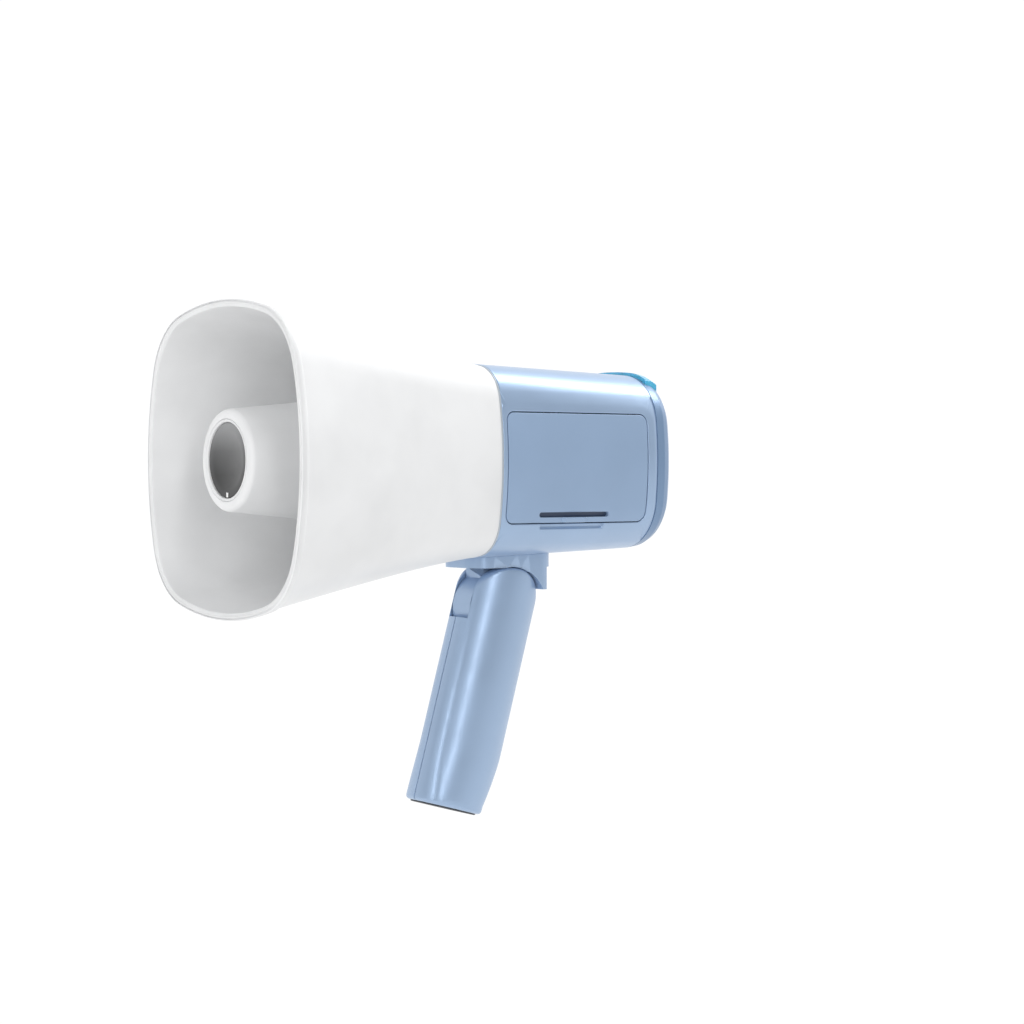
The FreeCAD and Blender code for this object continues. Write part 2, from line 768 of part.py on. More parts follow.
def make_reflector():
    """The cup that turns the sound back: closed and recessed in front, open behind."""
    face = dim.cup_front
    floor = face + dim.cup_recess_depth
    inside = floor + dim.cup_floor
    shoulder = face + dim.cup_chamfer
    bezel_back = face + dim.bezel_depth
    profile = [(face, dim.cup_recess_radius + dim.bezel_step), (face, dim.cup_face_radius),
               (shoulder, dim.cup_front_radius), (dim.cup_rear, cup_radius(dim.cup_rear)),
               (dim.cup_rear, cup_radius(dim.cup_rear) - dim.cup_wall),
               (inside, cup_radius(inside) - dim.cup_wall), (inside, 0), (floor, 0),
               (floor, dim.cup_recess_radius), (bezel_back, dim.cup_recess_radius),
               (bezel_back, dim.cup_recess_radius + dim.bezel_step)]
    cup = turned("cup", profile)
    holes = [rod(f"cup_hole_{i}", "Y", dim.screw_radius, floor - OVER, inside + OVER, place)
             for i, place in enumerate(vane_places())]
    keep(cut("cup_drilled", cup, *holes), "reflector_cup")
    inner = dim.cup_recess_radius
    half_step = dim.bezel_step / 2
    keep(turned("bezel", [(face, inner + half_step), (face, inner + dim.bezel_step),
                          (bezel_back, inner + dim.bezel_step), (bezel_back, inner),
                          (face + half_step, inner)]), "pod_bezel")
    rim = inner - dim.fit_gap
    front = face + dim.disc_sink
    back = front + dim.disc_thickness
    keep(turned("disc", [(front + dim.disc_dish, 0), (front, rim - dim.disc_rim), (front, rim), (floor, rim),
                         (floor, rim - dim.disc_skirt), (back, rim - dim.disc_skirt),
                         (back + dim.disc_dish, 0)]), "pod_disc")
    tick_low = dim.tick_relief - rim
    keep(box("tick", (dim.tick_width / -2, dim.tick_width / 2), (front - dim.tick_relief, front),
             (tick_low, tick_low + dim.tick_height)), "pod_tick")
    screws = [screw(f"cup_screw_{i}", "Y", floor, floor + MARGIN, place)
              for i, place in enumerate(vane_places())]
    keep(group("cup_screw_set", *screws), "reflector_screws")


def vane_places():
    """Where the three screws enter the vanes."""
    turns = [Rotation(Vector(0, 0, 1), 90 + 120 * i).multVec(Vector(1, 0, 0)) for i in range(3)]
    return [(dim.cup_screw_circle * turn.x, dim.cup_screw_circle * turn.y) for turn in turns]


def make_throat():
    """The throat tube, flanged to the back wall, with three vanes that carry the cup."""
    rear = dim.back_wall_depth
    flange = rear - dim.throat_flange_thickness
    end = rear + dim.back_wall_thickness
    wall = dim.throat_wall
    tube = turned("throat_tube_body", [
        (dim.throat_front, 0), (dim.throat_front, dim.throat_front_radius + wall),
        (flange, dim.throat_rear_radius + wall), (flange, dim.throat_flange_radius),
        (rear, dim.throat_flange_radius), (rear, dim.throat_rear_radius + wall),
        (end, dim.throat_rear_radius + wall), (end, 0)])
    gap = dim.cup_wall + dim.fit_gap
    front = dim.vane_front
    back = dim.vane_rear
    envelope = turned("vane_envelope", [(front, 0), (front, cup_radius(front) - gap),
                                        (back, cup_radius(back) - gap), (back, 0)])
    blades = []
    for i in range(3):
        blade = box(f"blade_{i}", (0, cup_radius(back)), (front, back),
                    (dim.vane_thickness / -2, dim.vane_thickness / 2))
        middle = dim.vane_thickness / 2
        turn = Rotation(Vector(0, -1, 0), 90 + 120 * i)
        offset = turn.multVec(Vector(0, 0, -1))
        move(blade, middle * offset.x, front, middle * offset.z, turn=turn)
        blades.append(blade)
    vanes = common("vanes", envelope, fuse("blades", *blades))
    bore = turned("throat_bore", [(front - OVER, 0), (front - OVER, dim.throat_front_radius),
                                  (dim.throat_front, dim.throat_front_radius),
                                  (end, dim.throat_rear_radius), (end + OVER, 0)])
    mouth = rod("throat_gap", "Y", dim.throat_front_radius + wall / 2, front - OVER, dim.throat_front - OVER)
    bosses = [rod(f"vane_boss_{i}", "Y", dim.screw_head_radius, front, dim.throat_front + OVER, place)
              for i, place in enumerate(vane_places())]
    holes = [rod(f"vane_hole_{i}", "Y", dim.screw_radius, front - OVER, dim.throat_front + wall, place)
             for i, place in enumerate(vane_places())]
    body = fuse("throat_solid", tube, vanes, *bosses)
    flange_holes = [rod(f"flange_hole_{i}", "Y", dim.screw_radius, flange - OVER, rear + OVER, place)
                    for i, place in enumerate(driver_screw_places())]
    keep(cut("throat", body, bore, *holes, *flange_holes), "throat_tube")


def make_driver():
    """Compression driver: gasket, frame, domed diaphragm, coil, ring magnet and back plate."""
    seat = dim.back_wall_depth + dim.back_wall_thickness
    front = seat + dim.gasket_thickness
    back = front + dim.driver_frame_depth
    magnet_back = back + dim.magnet_depth
    gasket = ring("driver_gasket_ring", dim.diaphragm_radius, dim.driver_radius, seat, front)
    gasket_holes = [rod(f"gasket_hole_{i}", "Y", dim.screw_radius, seat - OVER, front + OVER, place)
                    for i, place in enumerate(driver_screw_places())]
    keep(cut("driver_gasket_punched", gasket, *gasket_holes), "driver_gasket")
    step = dim.driver_frame_depth / 2
    frame = turned("driver_frame_turned", [
        (front, dim.throat_rear_radius), (front, dim.driver_radius), (back, dim.driver_radius),
        (back, dim.magnet_bore), (front + step, dim.magnet_bore),
        (front + step, dim.diaphragm_radius + dim.diaphragm_gap),
        (front + step / 2, dim.diaphragm_radius + dim.diaphragm_gap),
        (front + step / 2, dim.throat_rear_radius)])
    holes = [rod(f"frame_hole_{i}", "Y", dim.screw_radius, front - OVER, back + OVER, place)
             for i, place in enumerate(driver_screw_places())]
    keep(cut("driver_frame_drilled", frame, *holes), "driver_frame")
    dome_seat = front + step
    thick = dim.diaphragm_thickness
    high = dim.diaphragm_height
    rim = dim.diaphragm_radius
    coil_top = dome_seat + dim.coil_thickness
    keep(turned("dome", [(dome_seat - thick, rim), (dome_seat, rim), (dome_seat, dim.coil_radius),
                         (dome_seat + high / 2, rim / 2), (dome_seat + high / 2, 0),
                         (dome_seat + high / 2 - thick, 0), (dome_seat + high / 2 - thick, rim / 2),
                         (dome_seat - thick, dim.coil_radius)]), "driver_diaphragm")
    keep(ring("coil", dim.coil_radius - dim.coil_thickness, dim.coil_radius, coil_top + high / 2,
              coil_top + high / 2 + dim.coil_depth), "voice_coil")
    keep(ring("magnet", dim.magnet_bore, dim.magnet_radius, back, magnet_back), "driver_magnet")
    plate_back = magnet_back + dim.back_plate_depth
    pole_front = back + dim.pole_gap
    keep(turned("back_plate", [(pole_front, 0), (pole_front, dim.pole_radius),
                               (magnet_back, dim.pole_radius), (magnet_back, dim.magnet_radius),
                               (plate_back, dim.magnet_radius), (plate_back, 0)]), "driver_back_plate")
    tip = dim.back_wall_depth - dim.throat_flange_thickness
    screws = [screw(f"driver_screw_{i}", "Y", back, tip, place)
              for i, place in enumerate(driver_screw_places())]
    keep(group("driver_screw_set", *screws), "driver_screws")


# ---------------------------------------------------------------- body and battery bay

cover_centre = ((dim.cover_front + dim.cover_rear) / 2, (dim.cover_top + dim.cover_bottom) / 2)
cover_half = ((dim.cover_rear - dim.cover_front) / 2, (dim.cover_top - dim.cover_bottom) / 2)


def side_x(z):
    """How far out the flat side of the body is at a height, at mid length."""
    bow = dim.body_half_width * dim.body_side_ratio
    return dim.body_half_width - dim.body_side_taper / 2 - z * z / (bow * 2)


def post_places():
    """Four screws of the main board."""
    near = dim.board_front + dim.board_screw_inset
    far = dim.board_front + dim.board_length - dim.board_screw_inset
    high = dim.board_half_height - dim.board_screw_inset
    return [(y, z) for y in (near, far) for z in (high, -high)]


def cap_screw_places():
    return [(dim.cap_screw_x * side, dim.cap_screw_z * up) for side in (1, -1) for up in (1, -1)]


def saddle_screw_places():
    rows = (dim.saddle_front + dim.saddle_screw_inset, dim.saddle_rear - dim.saddle_screw_inset)
    return [(dim.saddle_screw_x * side, y) for side in (1, -1) for y in rows]


def make_body():
    """The tapering body shell with its battery opening, bosses and finger recess."""
    outer = body_solid("body_outer", as_size(0))
    hollow = body_solid("body_hollow", dim.body_wall)
    margin = MARGIN / 2
    seat_top = dim.cover_gap - dim.body_half_height + dim.body_wall + dim.seat_thickness
    extras = [box("saddle_seat", (-dim.saddle_half_width, dim.saddle_half_width),
                  (dim.saddle_front, dim.saddle_rear), (-dim.body_half_height, seat_top))]
    post_end = dim.board_x
    for i, place in enumerate(post_places()):
        extras.append(rod(f"board_post_{i}", "X", dim.board_post_radius, -dim.body_half_width,
                          post_end, place))
    for i, (x, z) in enumerate(cap_screw_places()):
        start = body_end - dim.cap_boss_length
        extras.append(rod(f"cap_boss_{i}", "Y", dim.cap_boss_radius, start, body_end, (x, z)))
        edge = sorted((z, dim.body_half_height * (1 if z.value > 0 else -1)), key=lambda size: size.value)
        extras.append(box(f"cap_rib_{i}", (x - dim.cap_rib_half, x + dim.cap_rib_half),
                          (start, body_end), edge))
    inside = common("body_fittings", fuse("body_bosses", *extras), outer)
    shell = fuse("body_shell_solid", cut("body_tube", outer, hollow), inside)
    opening = rounded_block("battery_opening", "X", dim.tray_back, dim.body_half_width + margin, cover_centre,
                            (cover_half[0] + dim.cover_gap, cover_half[1] + dim.cover_gap),
                            dim.cover_corner + dim.cover_gap)
    recess_top = dim.cover_bottom + OVER
    recess = box("finger_recess", (side_x(dim.cover_bottom) - dim.recess_depth, dim.body_half_width + margin),
                 (dim.latch_y - dim.recess_length / 2, dim.latch_y + dim.recess_length / 2),
                 (recess_top - dim.recess_height - OVER, recess_top))
    tools = [opening, recess]
    for i, (x, y) in enumerate(saddle_screw_places()):
        tools.append(rod(f"seat_hole_{i}", "Z", dim.screw_radius, -dim.body_half_height - OVER,
                         seat_top + OVER, (x, y)))
    for i, (x, z) in enumerate(cap_screw_places()):
        blind_end = body_end - dim.cap_boss_length + dim.body_wall
        tools.append(rod(f"cap_hole_{i}", "Y", dim.screw_radius, blind_end, body_end + OVER, (x, z)))
    for i, place in enumerate(post_places()):
        tools.append(rod(f"post_hole_{i}", "X", dim.screw_radius, post_end - dim.cap_boss_radius * 2,
                         post_end + OVER, place))
    keep(cut("body", shell, *tools), "body_shell")
    make_cover(outer, hollow)
    make_bracket(outer)
    make_saddle_screws(seat_top)


def make_cover(outer, hollow):
    """The battery cover: part of the same skin, with a sprung latch tongue and two lips."""
    block = rounded_block("cover_block", "X", dim.tray_back, dim.body_half_width + MARGIN, cover_centre,
                          cover_half, dim.cover_corner)
    tube = cut("cover_tube", outer, hollow)
    skin = common("cover_skin", tube, block)
    half_slot = dim.tongue_slot_length / 2
    slot = rounded_block("tongue_slot", "X", dim.tray_back, dim.body_half_width + MARGIN,
                         (dim.latch_y, dim.tongue_slot_z), (half_slot, dim.tongue_slot_height / 2),
                         dim.tongue_slot_height / 4)
    surface = side_x(dim.cover_bottom)
    tab = rounded_block("latch_tab", "X", surface - dim.body_wall, surface + dim.latch_relief,
                        (dim.latch_y, dim.cover_bottom + dim.latch_height / 2),
                        (dim.latch_length / 2, dim.latch_height / 2), dim.tongue_slot_height / 4)
    lips = []
    clear = dim.body_side_taper + dim.cover_gap * 2
    lip_x = side_x(dim.cover_top) - dim.body_wall - clear
    for i in range(2):
        start = dim.lip_y + dim.lip_spacing * i
        lips.append(box(f"lip_{i}", (lip_x - dim.lip_thickness, lip_x),
                        (start, start + dim.lip_width),
                        (dim.cover_top - dim.lip_height, dim.cover_top + dim.lip_height)))
        lips.append(box(f"lip_root_{i}", (lip_x - dim.lip_thickness, lip_x + clear + OVER),
                        (start, start + dim.lip_width),
                        (dim.cover_top - dim.lip_height, dim.cover_top - OVER)))
    keep(cut("cover", fuse("cover_solid", skin, tab, *lips), slot), "battery_cover")


def make_battery():
    """A tray open to the side, two cells, and the contacts at their ends."""
    wall = dim.tray_wall
    half_height = dim.cell_spacing / 2 + dim.cell_radius + dim.tray_clearance
    length = dim.contact_thickness + dim.cell_length + dim.spring_length
    front = dim.tray_front
    tray = box("tray_block", (dim.tray_back, dim.tray_edge), (front, front + length + wall * 2),
               (dim.cell_z - half_height - wall, dim.cell_z + half_height + wall))
    hollow = box("tray_hollow", (dim.tray_back + wall, dim.tray_edge + OVER),
                 (front + wall, front + wall + length), (dim.cell_z - half_height, dim.cell_z + half_height))
    rib_half = dim.cell_spacing / 2 - dim.cell_radius
    rib = box("tray_rib", (dim.tray_back, dim.cell_x - dim.cell_radius + wall),
              (front, front + length + wall), (dim.cell_z - rib_half, dim.cell_z + rib_half))
    keep(fuse("tray", cut("tray_open", tray, hollow), rib), "battery_tray")
    start = front + wall + dim.contact_thickness
    contacts = []
    springs = []
    for i, label in enumerate(("battery_cell_lower", "battery_cell_upper")):
        z = dim.cell_z + dim.cell_spacing * (i - 0.5)
        across = (dim.cell_x, z)
        can_start = start + dim.cell_cap_height
        can = rod(f"cell_can_{i}", "Y", dim.cell_radius, can_start, start + dim.cell_length, across)
        cap = rod(f"cell_cap_{i}", "Y", dim.terminal_radius, start, can_start + OVER, across)
        keep(fuse(f"cell_{i}", can, cap), label)
        contacts.append(box(f"contact_{i}",
                            (dim.cell_x - dim.terminal_radius * 2, dim.cell_x + dim.terminal_radius),
                            (front + wall, start), (z - dim.terminal_radius, z + dim.terminal_radius)))
        springs.append(cone(f"spring_{i}", "Y", dim.terminal_radius, dim.terminal_radius * 2,
                            start + dim.cell_length, start + dim.cell_length + dim.spring_length, across))
    keep(group("contact_set", *contacts), "contact_plates")
    keep(group("spring_set", *springs), "contact_springs")


def make_main_board():
    """The amplifier board on its four posts."""
    back = dim.board_x
    face = back + dim.board_thickness
    y = (dim.board_front, dim.board_front + dim.board_length)
    middle = (y[0] + y[1]) / 2
    board = box("board_plate", (back, face), y, (-dim.board_half_height, dim.board_half_height))
    holes = [rod(f"board_hole_{i}", "X", dim.screw_radius, back - OVER, face + OVER, place)
             for i, place in enumerate(post_places())]
    keep(cut("board", board, *holes), "main_board")
    chip_y = (middle - dim.chip_length / 2, middle + dim.chip_length / 2)
    chip = box("chip_body", (face, face + dim.chip_depth), chip_y,
               (-dim.chip_height / 2, dim.chip_height / 2))
    fin = box("chip_fin", (face, face + dim.heat_fin_depth), chip_y,
              (dim.chip_height / 2, dim.chip_height / 2 + dim.board_thickness))
    keep(fuse("amplifier", chip, fin), "amplifier_chip")
    cans = [rod(f"can_{i}", "X", dim.capacitor_radius, face, face + dim.capacitor_length,
                (middle + dim.capacitor_reach * side, dim.capacitor_rise * up))
            for i, (side, up) in enumerate(((1, 1), (1, -1), (-1, -1)))]
    keep(group("capacitor_set", *cans), "capacitors")
    block_y = y[0] + dim.board_screw_inset * 2
    keep(box("terminals", (face, face + dim.terminal_block_height),
             (block_y, block_y + dim.terminal_block_length),
             (dim.capacitor_radius, dim.capacitor_radius + dim.terminal_block_height)), "terminal_block")
    screws = [screw(f"board_screw_{i}", "X", face, back - dim.board_post_radius, place)
              for i, place in enumerate(post_places())]
    keep(group("board_screw_set", *screws), "board_screws")


# ---------------------------------------------------------------- rear cap and controls

CAP_STEPS = ((0.0, 0.0), (0.45, 0.107), (0.75, 0.339), (0.93, 0.632), (1.0, 1.0))


def cap_solid(name, inset):
    """The rounded-over rear: the share of depth, and of the rounding that it has drawn in."""
    sections = []
    for i, (depth, drawn) in enumerate(CAP_STEPS):
        y = body_end + (dim.cap_length - inset) * depth
        shrink = dim.cap_rounding * drawn + inset
        sections.append(rounded_section(f"{name}_{i}", "Y", y,
                                        dim.body_half_width - dim.body_side_taper - shrink,
                                        dim.body_half_height - dim.body_top_taper - shrink,
                                        dim.body_side_ratio, dim.body_rear_corner_ratio))
    return loft(name, sections, ruled=True)


def control_posts():
    return [(dim.control_post_x * side, dim.control_post_z * up) for side in (1, -1) for up in (1, -1)]


def talk_bounds(gap):
    return ((-dim.talk_half_width - gap, dim.talk_half_width + gap),
            (dim.talk_front - gap, dim.talk_front + dim.talk_length + gap))


def make_rear_cap():
    """The rear cap: a rounded lid with a recessed control panel."""
    outer = cap_solid("cap_outer", as_size(0))
    hollow = cap_solid("cap_hollow", dim.body_wall)
    recess = rounded_block("panel_recess", "Y", panel_face, cap_end + OVER, (0, 0),
                           (dim.panel_half_width, dim.panel_half_height), dim.panel_corner)
    panel_wall = rounded_block("panel_wall", "Y", panel_back, cap_end, (0, 0),
                               (dim.panel_half_width + dim.body_wall, dim.panel_half_height + dim.body_wall),
                               dim.panel_corner + dim.body_wall)
    board_back = dim.control_y + dim.board_thickness
    posts = [rod(f"control_post_{i}", "Y", dim.control_post_radius, board_back, panel_face, place)
             for i, place in enumerate(control_posts())]
    sleeves = [rod(f"cap_sleeve_{i}", "Y", dim.cap_boss_radius, body_end, panel_face, place)
               for i, place in enumerate(cap_screw_places())]
    seat = common("panel_seat", panel_wall, outer)
    solid = fuse("cap_solid_body", cut("cap_shell", outer, hollow), seat, *posts, *sleeves)
    low = panel_back - OVER
    high = panel_face + OVER
    key_hole = dim.key_radius + dim.key_gap
    tools = [recess,
             rod("siren_hole", "Y", key_hole, low, high, (dim.siren_x, dim.key_z)),
             rod("record_hole", "Y", key_hole, low, high, (dim.record_x, dim.key_z)),
             rod("shaft_hole", "Y", dim.shaft_radius + dim.key_gap, low, high, (dim.knob_x, dim.knob_z)),
             rod("grille_hole", "Y", dim.grille_radius, low, high, (0, dim.grille_z)),
             rod("lens_hole", "Y", dim.lens_radius, low, high, (dim.lens_x, dim.lens_z)),
             rod("jack_hole", "Y", dim.jack_nose_radius, low, high, (dim.jack_x, dim.jack_z)),
             rounded_block("charge_hole", "Y", low, high, (dim.charge_x, dim.charge_z),
                           (dim.charge_half_width, dim.charge_half_height), dim.charge_half_height / 2),
             box("slider_hole", (dim.slider_x - dim.slider_length / 2 - dim.slider_gap,
                                 dim.slider_x + dim.slider_length / 2 + dim.slider_travel + dim.slider_gap),
                 (low, high), (dim.slider_z - dim.slider_height / 2 - dim.slider_gap,
                               dim.slider_z + dim.slider_height / 2 + dim.slider_gap))]
    for i, place in enumerate(cap_screw_places()):
        tools.append(rod(f"sleeve_hole_{i}", "Y", dim.screw_radius, body_end - OVER, high, place))
    for i, place in enumerate(control_posts()):
        tools.append(rod(f"control_hole_{i}", "Y", dim.screw_radius, board_back - OVER, panel_back, place))
    top = dim.body_half_height - dim.body_top_taper
    low = top - dim.talk_pocket_depth
    well_low = low - dim.talk_travel - dim.talk_gap
    x, y = talk_bounds(dim.talk_gap)
    wall = dim.talk_ledge
    block = box("talk_block", (x[0] - wall, x[1] + wall), (y[0] - wall, cap_end), (well_low - wall, top))
    pocket = common("talk_pocket", block, outer)
    floor = cap_solid("talk_floor", dim.talk_thickness + dim.talk_travel + dim.talk_gap)
    well = cut("talk_well", box("talk_well_block", x, y, (well_low, top + MARGIN)), floor,
               talk_ledge("talk_ledge", wall))
    stem_hole = rod("stem_hole", "Z", dim.talk_stem_radius + dim.talk_gap,
                    talk_stem_end() - dim.talk_travel - dim.talk_gap, top, (0, talk_middle()))
    keep(cut("cap", fuse("cap_with_pocket", solid, pocket), *tools, well, stem_hole), "rear_cap")
    screws = [screw(f"cap_screw_{i}", "Y", panel_face, body_end - MARGIN, place)
              for i, place in enumerate(cap_screw_places())]
    keep(group("cap_screw_set", *screws), "cap_screws")
    make_talk_button(low, top)


def talk_middle():
    return dim.talk_front + dim.talk_length / 2


def talk_stem_end():
    """The foot of the stem under the key, just above the floor of its hole."""
    return dim.panel_half_height + dim.talk_travel + dim.talk_gap * 2


def talk_ledge(name, wall):
    """The rim of the panel recess, which stays whole behind the key's well."""
    return rounded_block(name, "Y", body_end, cap_end + OVER, (0, 0),
                         (dim.panel_half_width + wall, dim.panel_half_height + wall),
                         dim.panel_corner + wall)


def make_talk_button(low, top):
    """The translucent press-to-talk key: a strip that follows the rear edge from side to side."""
    x, y = talk_bounds(as_size(0))
    raised = cap_solid("talk_raised", -dim.talk_relief)
    strip = common("talk_strip", raised, box("talk_span", x, y, (low, top + MARGIN)))
    arched = cut("talk_arched", strip, cap_solid("talk_under", dim.talk_thickness),
                 talk_ledge("talk_clear_of_ledge", dim.talk_ledge + dim.talk_travel + dim.talk_gap))
    stem = rod("talk_stem", "Z", dim.talk_stem_radius, talk_stem_end(), top - dim.talk_thickness / 2,
               (0, talk_middle()))
    keep(fuse("talk", arched, stem), "talk_button")


def make_controls():
    """The control board and everything that comes out through the rear panel."""
    board = dim.control_y
    face = board + dim.board_thickness
    plate = box("control_plate", (-dim.control_half_width, dim.control_half_width), (board, face),
                (-dim.control_half_height, dim.control_half_height))
    holes = [rod(f"control_plate_hole_{i}", "Y", dim.screw_radius, board - OVER, face + OVER, place)
             for i, place in enumerate(control_posts())]
    jack_notch = rod("jack_notch", "Y", dim.jack_barrel_radius + dim.key_gap, board - OVER, face + OVER,
                     (dim.jack_x, dim.jack_z))
    keep(cut("control", plate, *holes, jack_notch), "control_board")
    screws = [screw(f"control_screw_{i}", "Y", board, face + dim.control_post_radius, place)
              for i, place in enumerate(control_posts())]
    keep(group("control_screw_set", *screws), "control_screws")
    switch_top = face + dim.switch_height
    key_foot = switch_top + dim.key_travel + dim.key_gap
    switches = []
    for label, x in (("siren_button", dim.siren_x), ("record_button", dim.record_x)):
        flange_top = key_foot + dim.key_flange
        place = (x, dim.key_z)
        stem = rod(f"{label}_stem", "Y", dim.key_radius, key_foot, panel_face + dim.key_relief, place)
        flange = rod(f"{label}_flange", "Y", dim.key_radius + dim.key_flange, key_foot, flange_top, place)
        keep(fuse(f"{label}_solid", stem, flange), label)
        switches.append(box(f"{label}_switch", (x - dim.switch_half, x + dim.switch_half), (face, switch_top),
                            (dim.key_z - dim.switch_half, dim.key_z + dim.switch_half)))
    keep(group("switch_set", *switches), "key_switches")
    knob_low = panel_face + dim.knob_float
    knob_high = knob_low + dim.knob_height
    chamfer = dim.knob_float * 2
    shaft_end = knob_high - dim.bead_step
    pot_top = face + dim.pot_depth
    knob = turned("knob", [(knob_low, dim.shaft_radius), (knob_low, dim.knob_radius),
                           (knob_high - chamfer, dim.knob_radius), (knob_high, dim.knob_radius - chamfer),
                           (knob_high, 0), (shaft_end, 0), (shaft_end, dim.shaft_radius)],
                  dim.knob_x, dim.knob_z)
    notches = []
    for i in range(KNOB_FLUTES):
        spoke = Rotation(Vector(0, 0, 1), 360 * i / KNOB_FLUTES).multVec(Vector(1, 0, 0))
        reach = dim.knob_radius + dim.knob_float
        place = (dim.knob_x + reach * spoke.x, dim.knob_z + reach * spoke.y)
        notches.append(rod(f"knob_notch_{i}", "Y", dim.knob_float * 2, knob_low - OVER,
                           knob_high + OVER, place))
    keep(cut("knob_fluted", knob, *notches), "volume_knob")
    place = (dim.knob_x, dim.knob_z)
    keep(rod("shaft", "Y", dim.shaft_radius, pot_top + dim.knob_float / 2, shaft_end, place), "volume_shaft")
    keep(box("pot", (dim.knob_x - dim.pot_half, dim.knob_x + dim.pot_half), (face, pot_top),
             (dim.knob_z - dim.pot_half, dim.knob_z + dim.pot_half)), "volume_pot")
    make_microphone(face)
    make_slider(face)
    make_sockets(face)
    keep(rod("lens", "Y", dim.lens_radius, panel_back, panel_face + dim.knob_float, (dim.lens_x, dim.lens_z)),
         "status_lens")


def make_microphone(face):
    """A slotted round grille and the capsule behind it."""
    place = (0, dim.grille_z)
    front = panel_face - dim.grille_thickness
    disc = rod("grille_disc", "Y", dim.grille_radius, front, panel_face, place)
    slots = []
    for i in range(GRILLE_ROWS):
        step = i - (GRILLE_ROWS - 1) / 2
        z = dim.grille_z + dim.grille_pitch * step
        half = dim.grille_radius * (GRILLE_FILL - GRILLE_TAPER * step * step)
        slots.append(rounded_block(f"grille_slot_{i}", "Y", front - OVER, panel_face + OVER, (0, z),
                                   (half, dim.grille_slot / 2), dim.grille_slot_corner))
    keep(cut("grille", disc, *slots), "mic_grille")
    back = front - dim.knob_float
    keep(rod("capsule", "Y", dim.capsule_radius, back - dim.capsule_length, back, place), "mic_capsule")


def make_slider(face):
    """The mode switch: a sliding thumb piece and its housing on the board."""
    half = dim.slider_length / 2
    tall = dim.slider_height / 2
    foot = face + dim.switch_height + dim.key_gap
    across = (dim.slider_z - tall, dim.slider_z + tall)
    keep(box("slider", (dim.slider_x - half, dim.slider_x + half), (foot, panel_face + dim.slider_relief),
             across), "mode_switch")
    keep(box("slider_base", (dim.slider_x - half, dim.slider_x + half + dim.slider_travel),
             (face, face + dim.switch_height), across), "mode_switch_base")


def make_sockets(face):
    """The charging socket and the 3.5 mm audio socket."""
    place = (dim.charge_x, dim.charge_z)
    half = (dim.charge_half_width, dim.charge_half_height)
    inner = tuple(size - dim.charge_shell for size in half)
    shell = rounded_block("charge_shell_block", "Y", panel_face - dim.charge_depth, panel_face, place, half,
                          dim.charge_half_height / 2)
    mouth = rounded_block("charge_mouth", "Y", panel_face - dim.charge_depth + dim.charge_floor,
                          panel_face + OVER, place, inner, dim.charge_half_height / 3)
    keep(cut("charge", shell, mouth), "charge_socket")
    place = (dim.jack_x, dim.jack_z)
    nose = rod("jack_nose", "Y", dim.jack_nose_radius, face + dim.jack_board_gap,
               panel_face, place)
    rear = panel_face - dim.jack_length
    barrel = rod("jack_barrel", "Y", dim.jack_barrel_radius, rear, panel_face, place)
    bore = rod("jack_bore_tool", "Y", dim.jack_bore, rear + dim.jack_end_wall, panel_face + OVER,
               place)
    keep(cut("jack", fuse("jack_solid", nose, barrel), bore), "audio_socket")


# ---------------------------------------------------------------- bracket and handle


def make_bracket(body_outer):
    """The saddle under the body, with the lug that the handle folds on."""
    half = dim.saddle_half_width
    saddle_body = doc.addObject("PartDesign::Body", "saddle_body")
    doc.recompute()
    inner = dim.pivot_y + OVER
    sketch = outline(saddle_body, "YZ_Plane", [
        (dim.saddle_front, dim.saddle_top), (dim.saddle_front, dim.saddle_bottom),
        (inner, dim.saddle_bottom), (inner, dim.skirt_bottom), (dim.skirt_tip, dim.skirt_bottom),
        (dim.saddle_rear, dim.skirt_shoulder), (dim.saddle_rear, dim.saddle_top)])
    pad = saddle_body.newObject("PartDesign::Pad", "saddle_pad")
    pad.Profile = sketch
    pad.SideType = "Symmetric"
    bind(pad, "Length", half * 2)
    saddle_body.Tip = pad
    pivot = (dim.pivot_y, dim.pivot_z)
    arch = rod("saddle_arch", "X", dim.ear_radius + dim.hinge_gap, -half - OVER, half + OVER, pivot)
    middle = (dim.saddle_front + dim.saddle_rear) / 2
    plan = rounded_block("saddle_plan", "Z", dim.skirt_bottom - OVER, dim.saddle_top, (0, middle),
                         (half, (dim.saddle_rear - dim.saddle_front) / 2), dim.saddle_corner)
    saddle = cut("saddle", common("saddle_rounded", saddle_body, plan), arch, body_outer)
    lug = dim.lug_half_width
    knuckle = rod("knuckle", "X", dim.knuckle_radius, -lug, lug, pivot)
    neck = box("neck", (-lug, lug), (dim.pivot_y - dim.neck_half_length, dim.pivot_y + dim.neck_half_length),
               (dim.pivot_z, dim.saddle_bottom + OVER))
    pin_hole = rod("lug_hole", "X", dim.pin_radius, -lug - OVER, lug + OVER, pivot)
    pocket = rod("ball_pocket", "Z", dim.ball_radius, dim.pivot_z - dim.knuckle_radius - OVER,
                 dim.pivot_z - dim.pin_radius * 2, (0, dim.pivot_y))
    tools = [pin_hole, pocket]
    for i, place in enumerate(saddle_screw_places()):
        tools.append(rod(f"saddle_hole_{i}", "Z", dim.screw_radius, dim.saddle_bottom + OVER,
                         dim.saddle_top, place))
    keep(cut("bracket", fuse("bracket_solid", saddle, knuckle, neck), *tools), "hinge_bracket")
    make_pin(pivot, lug)


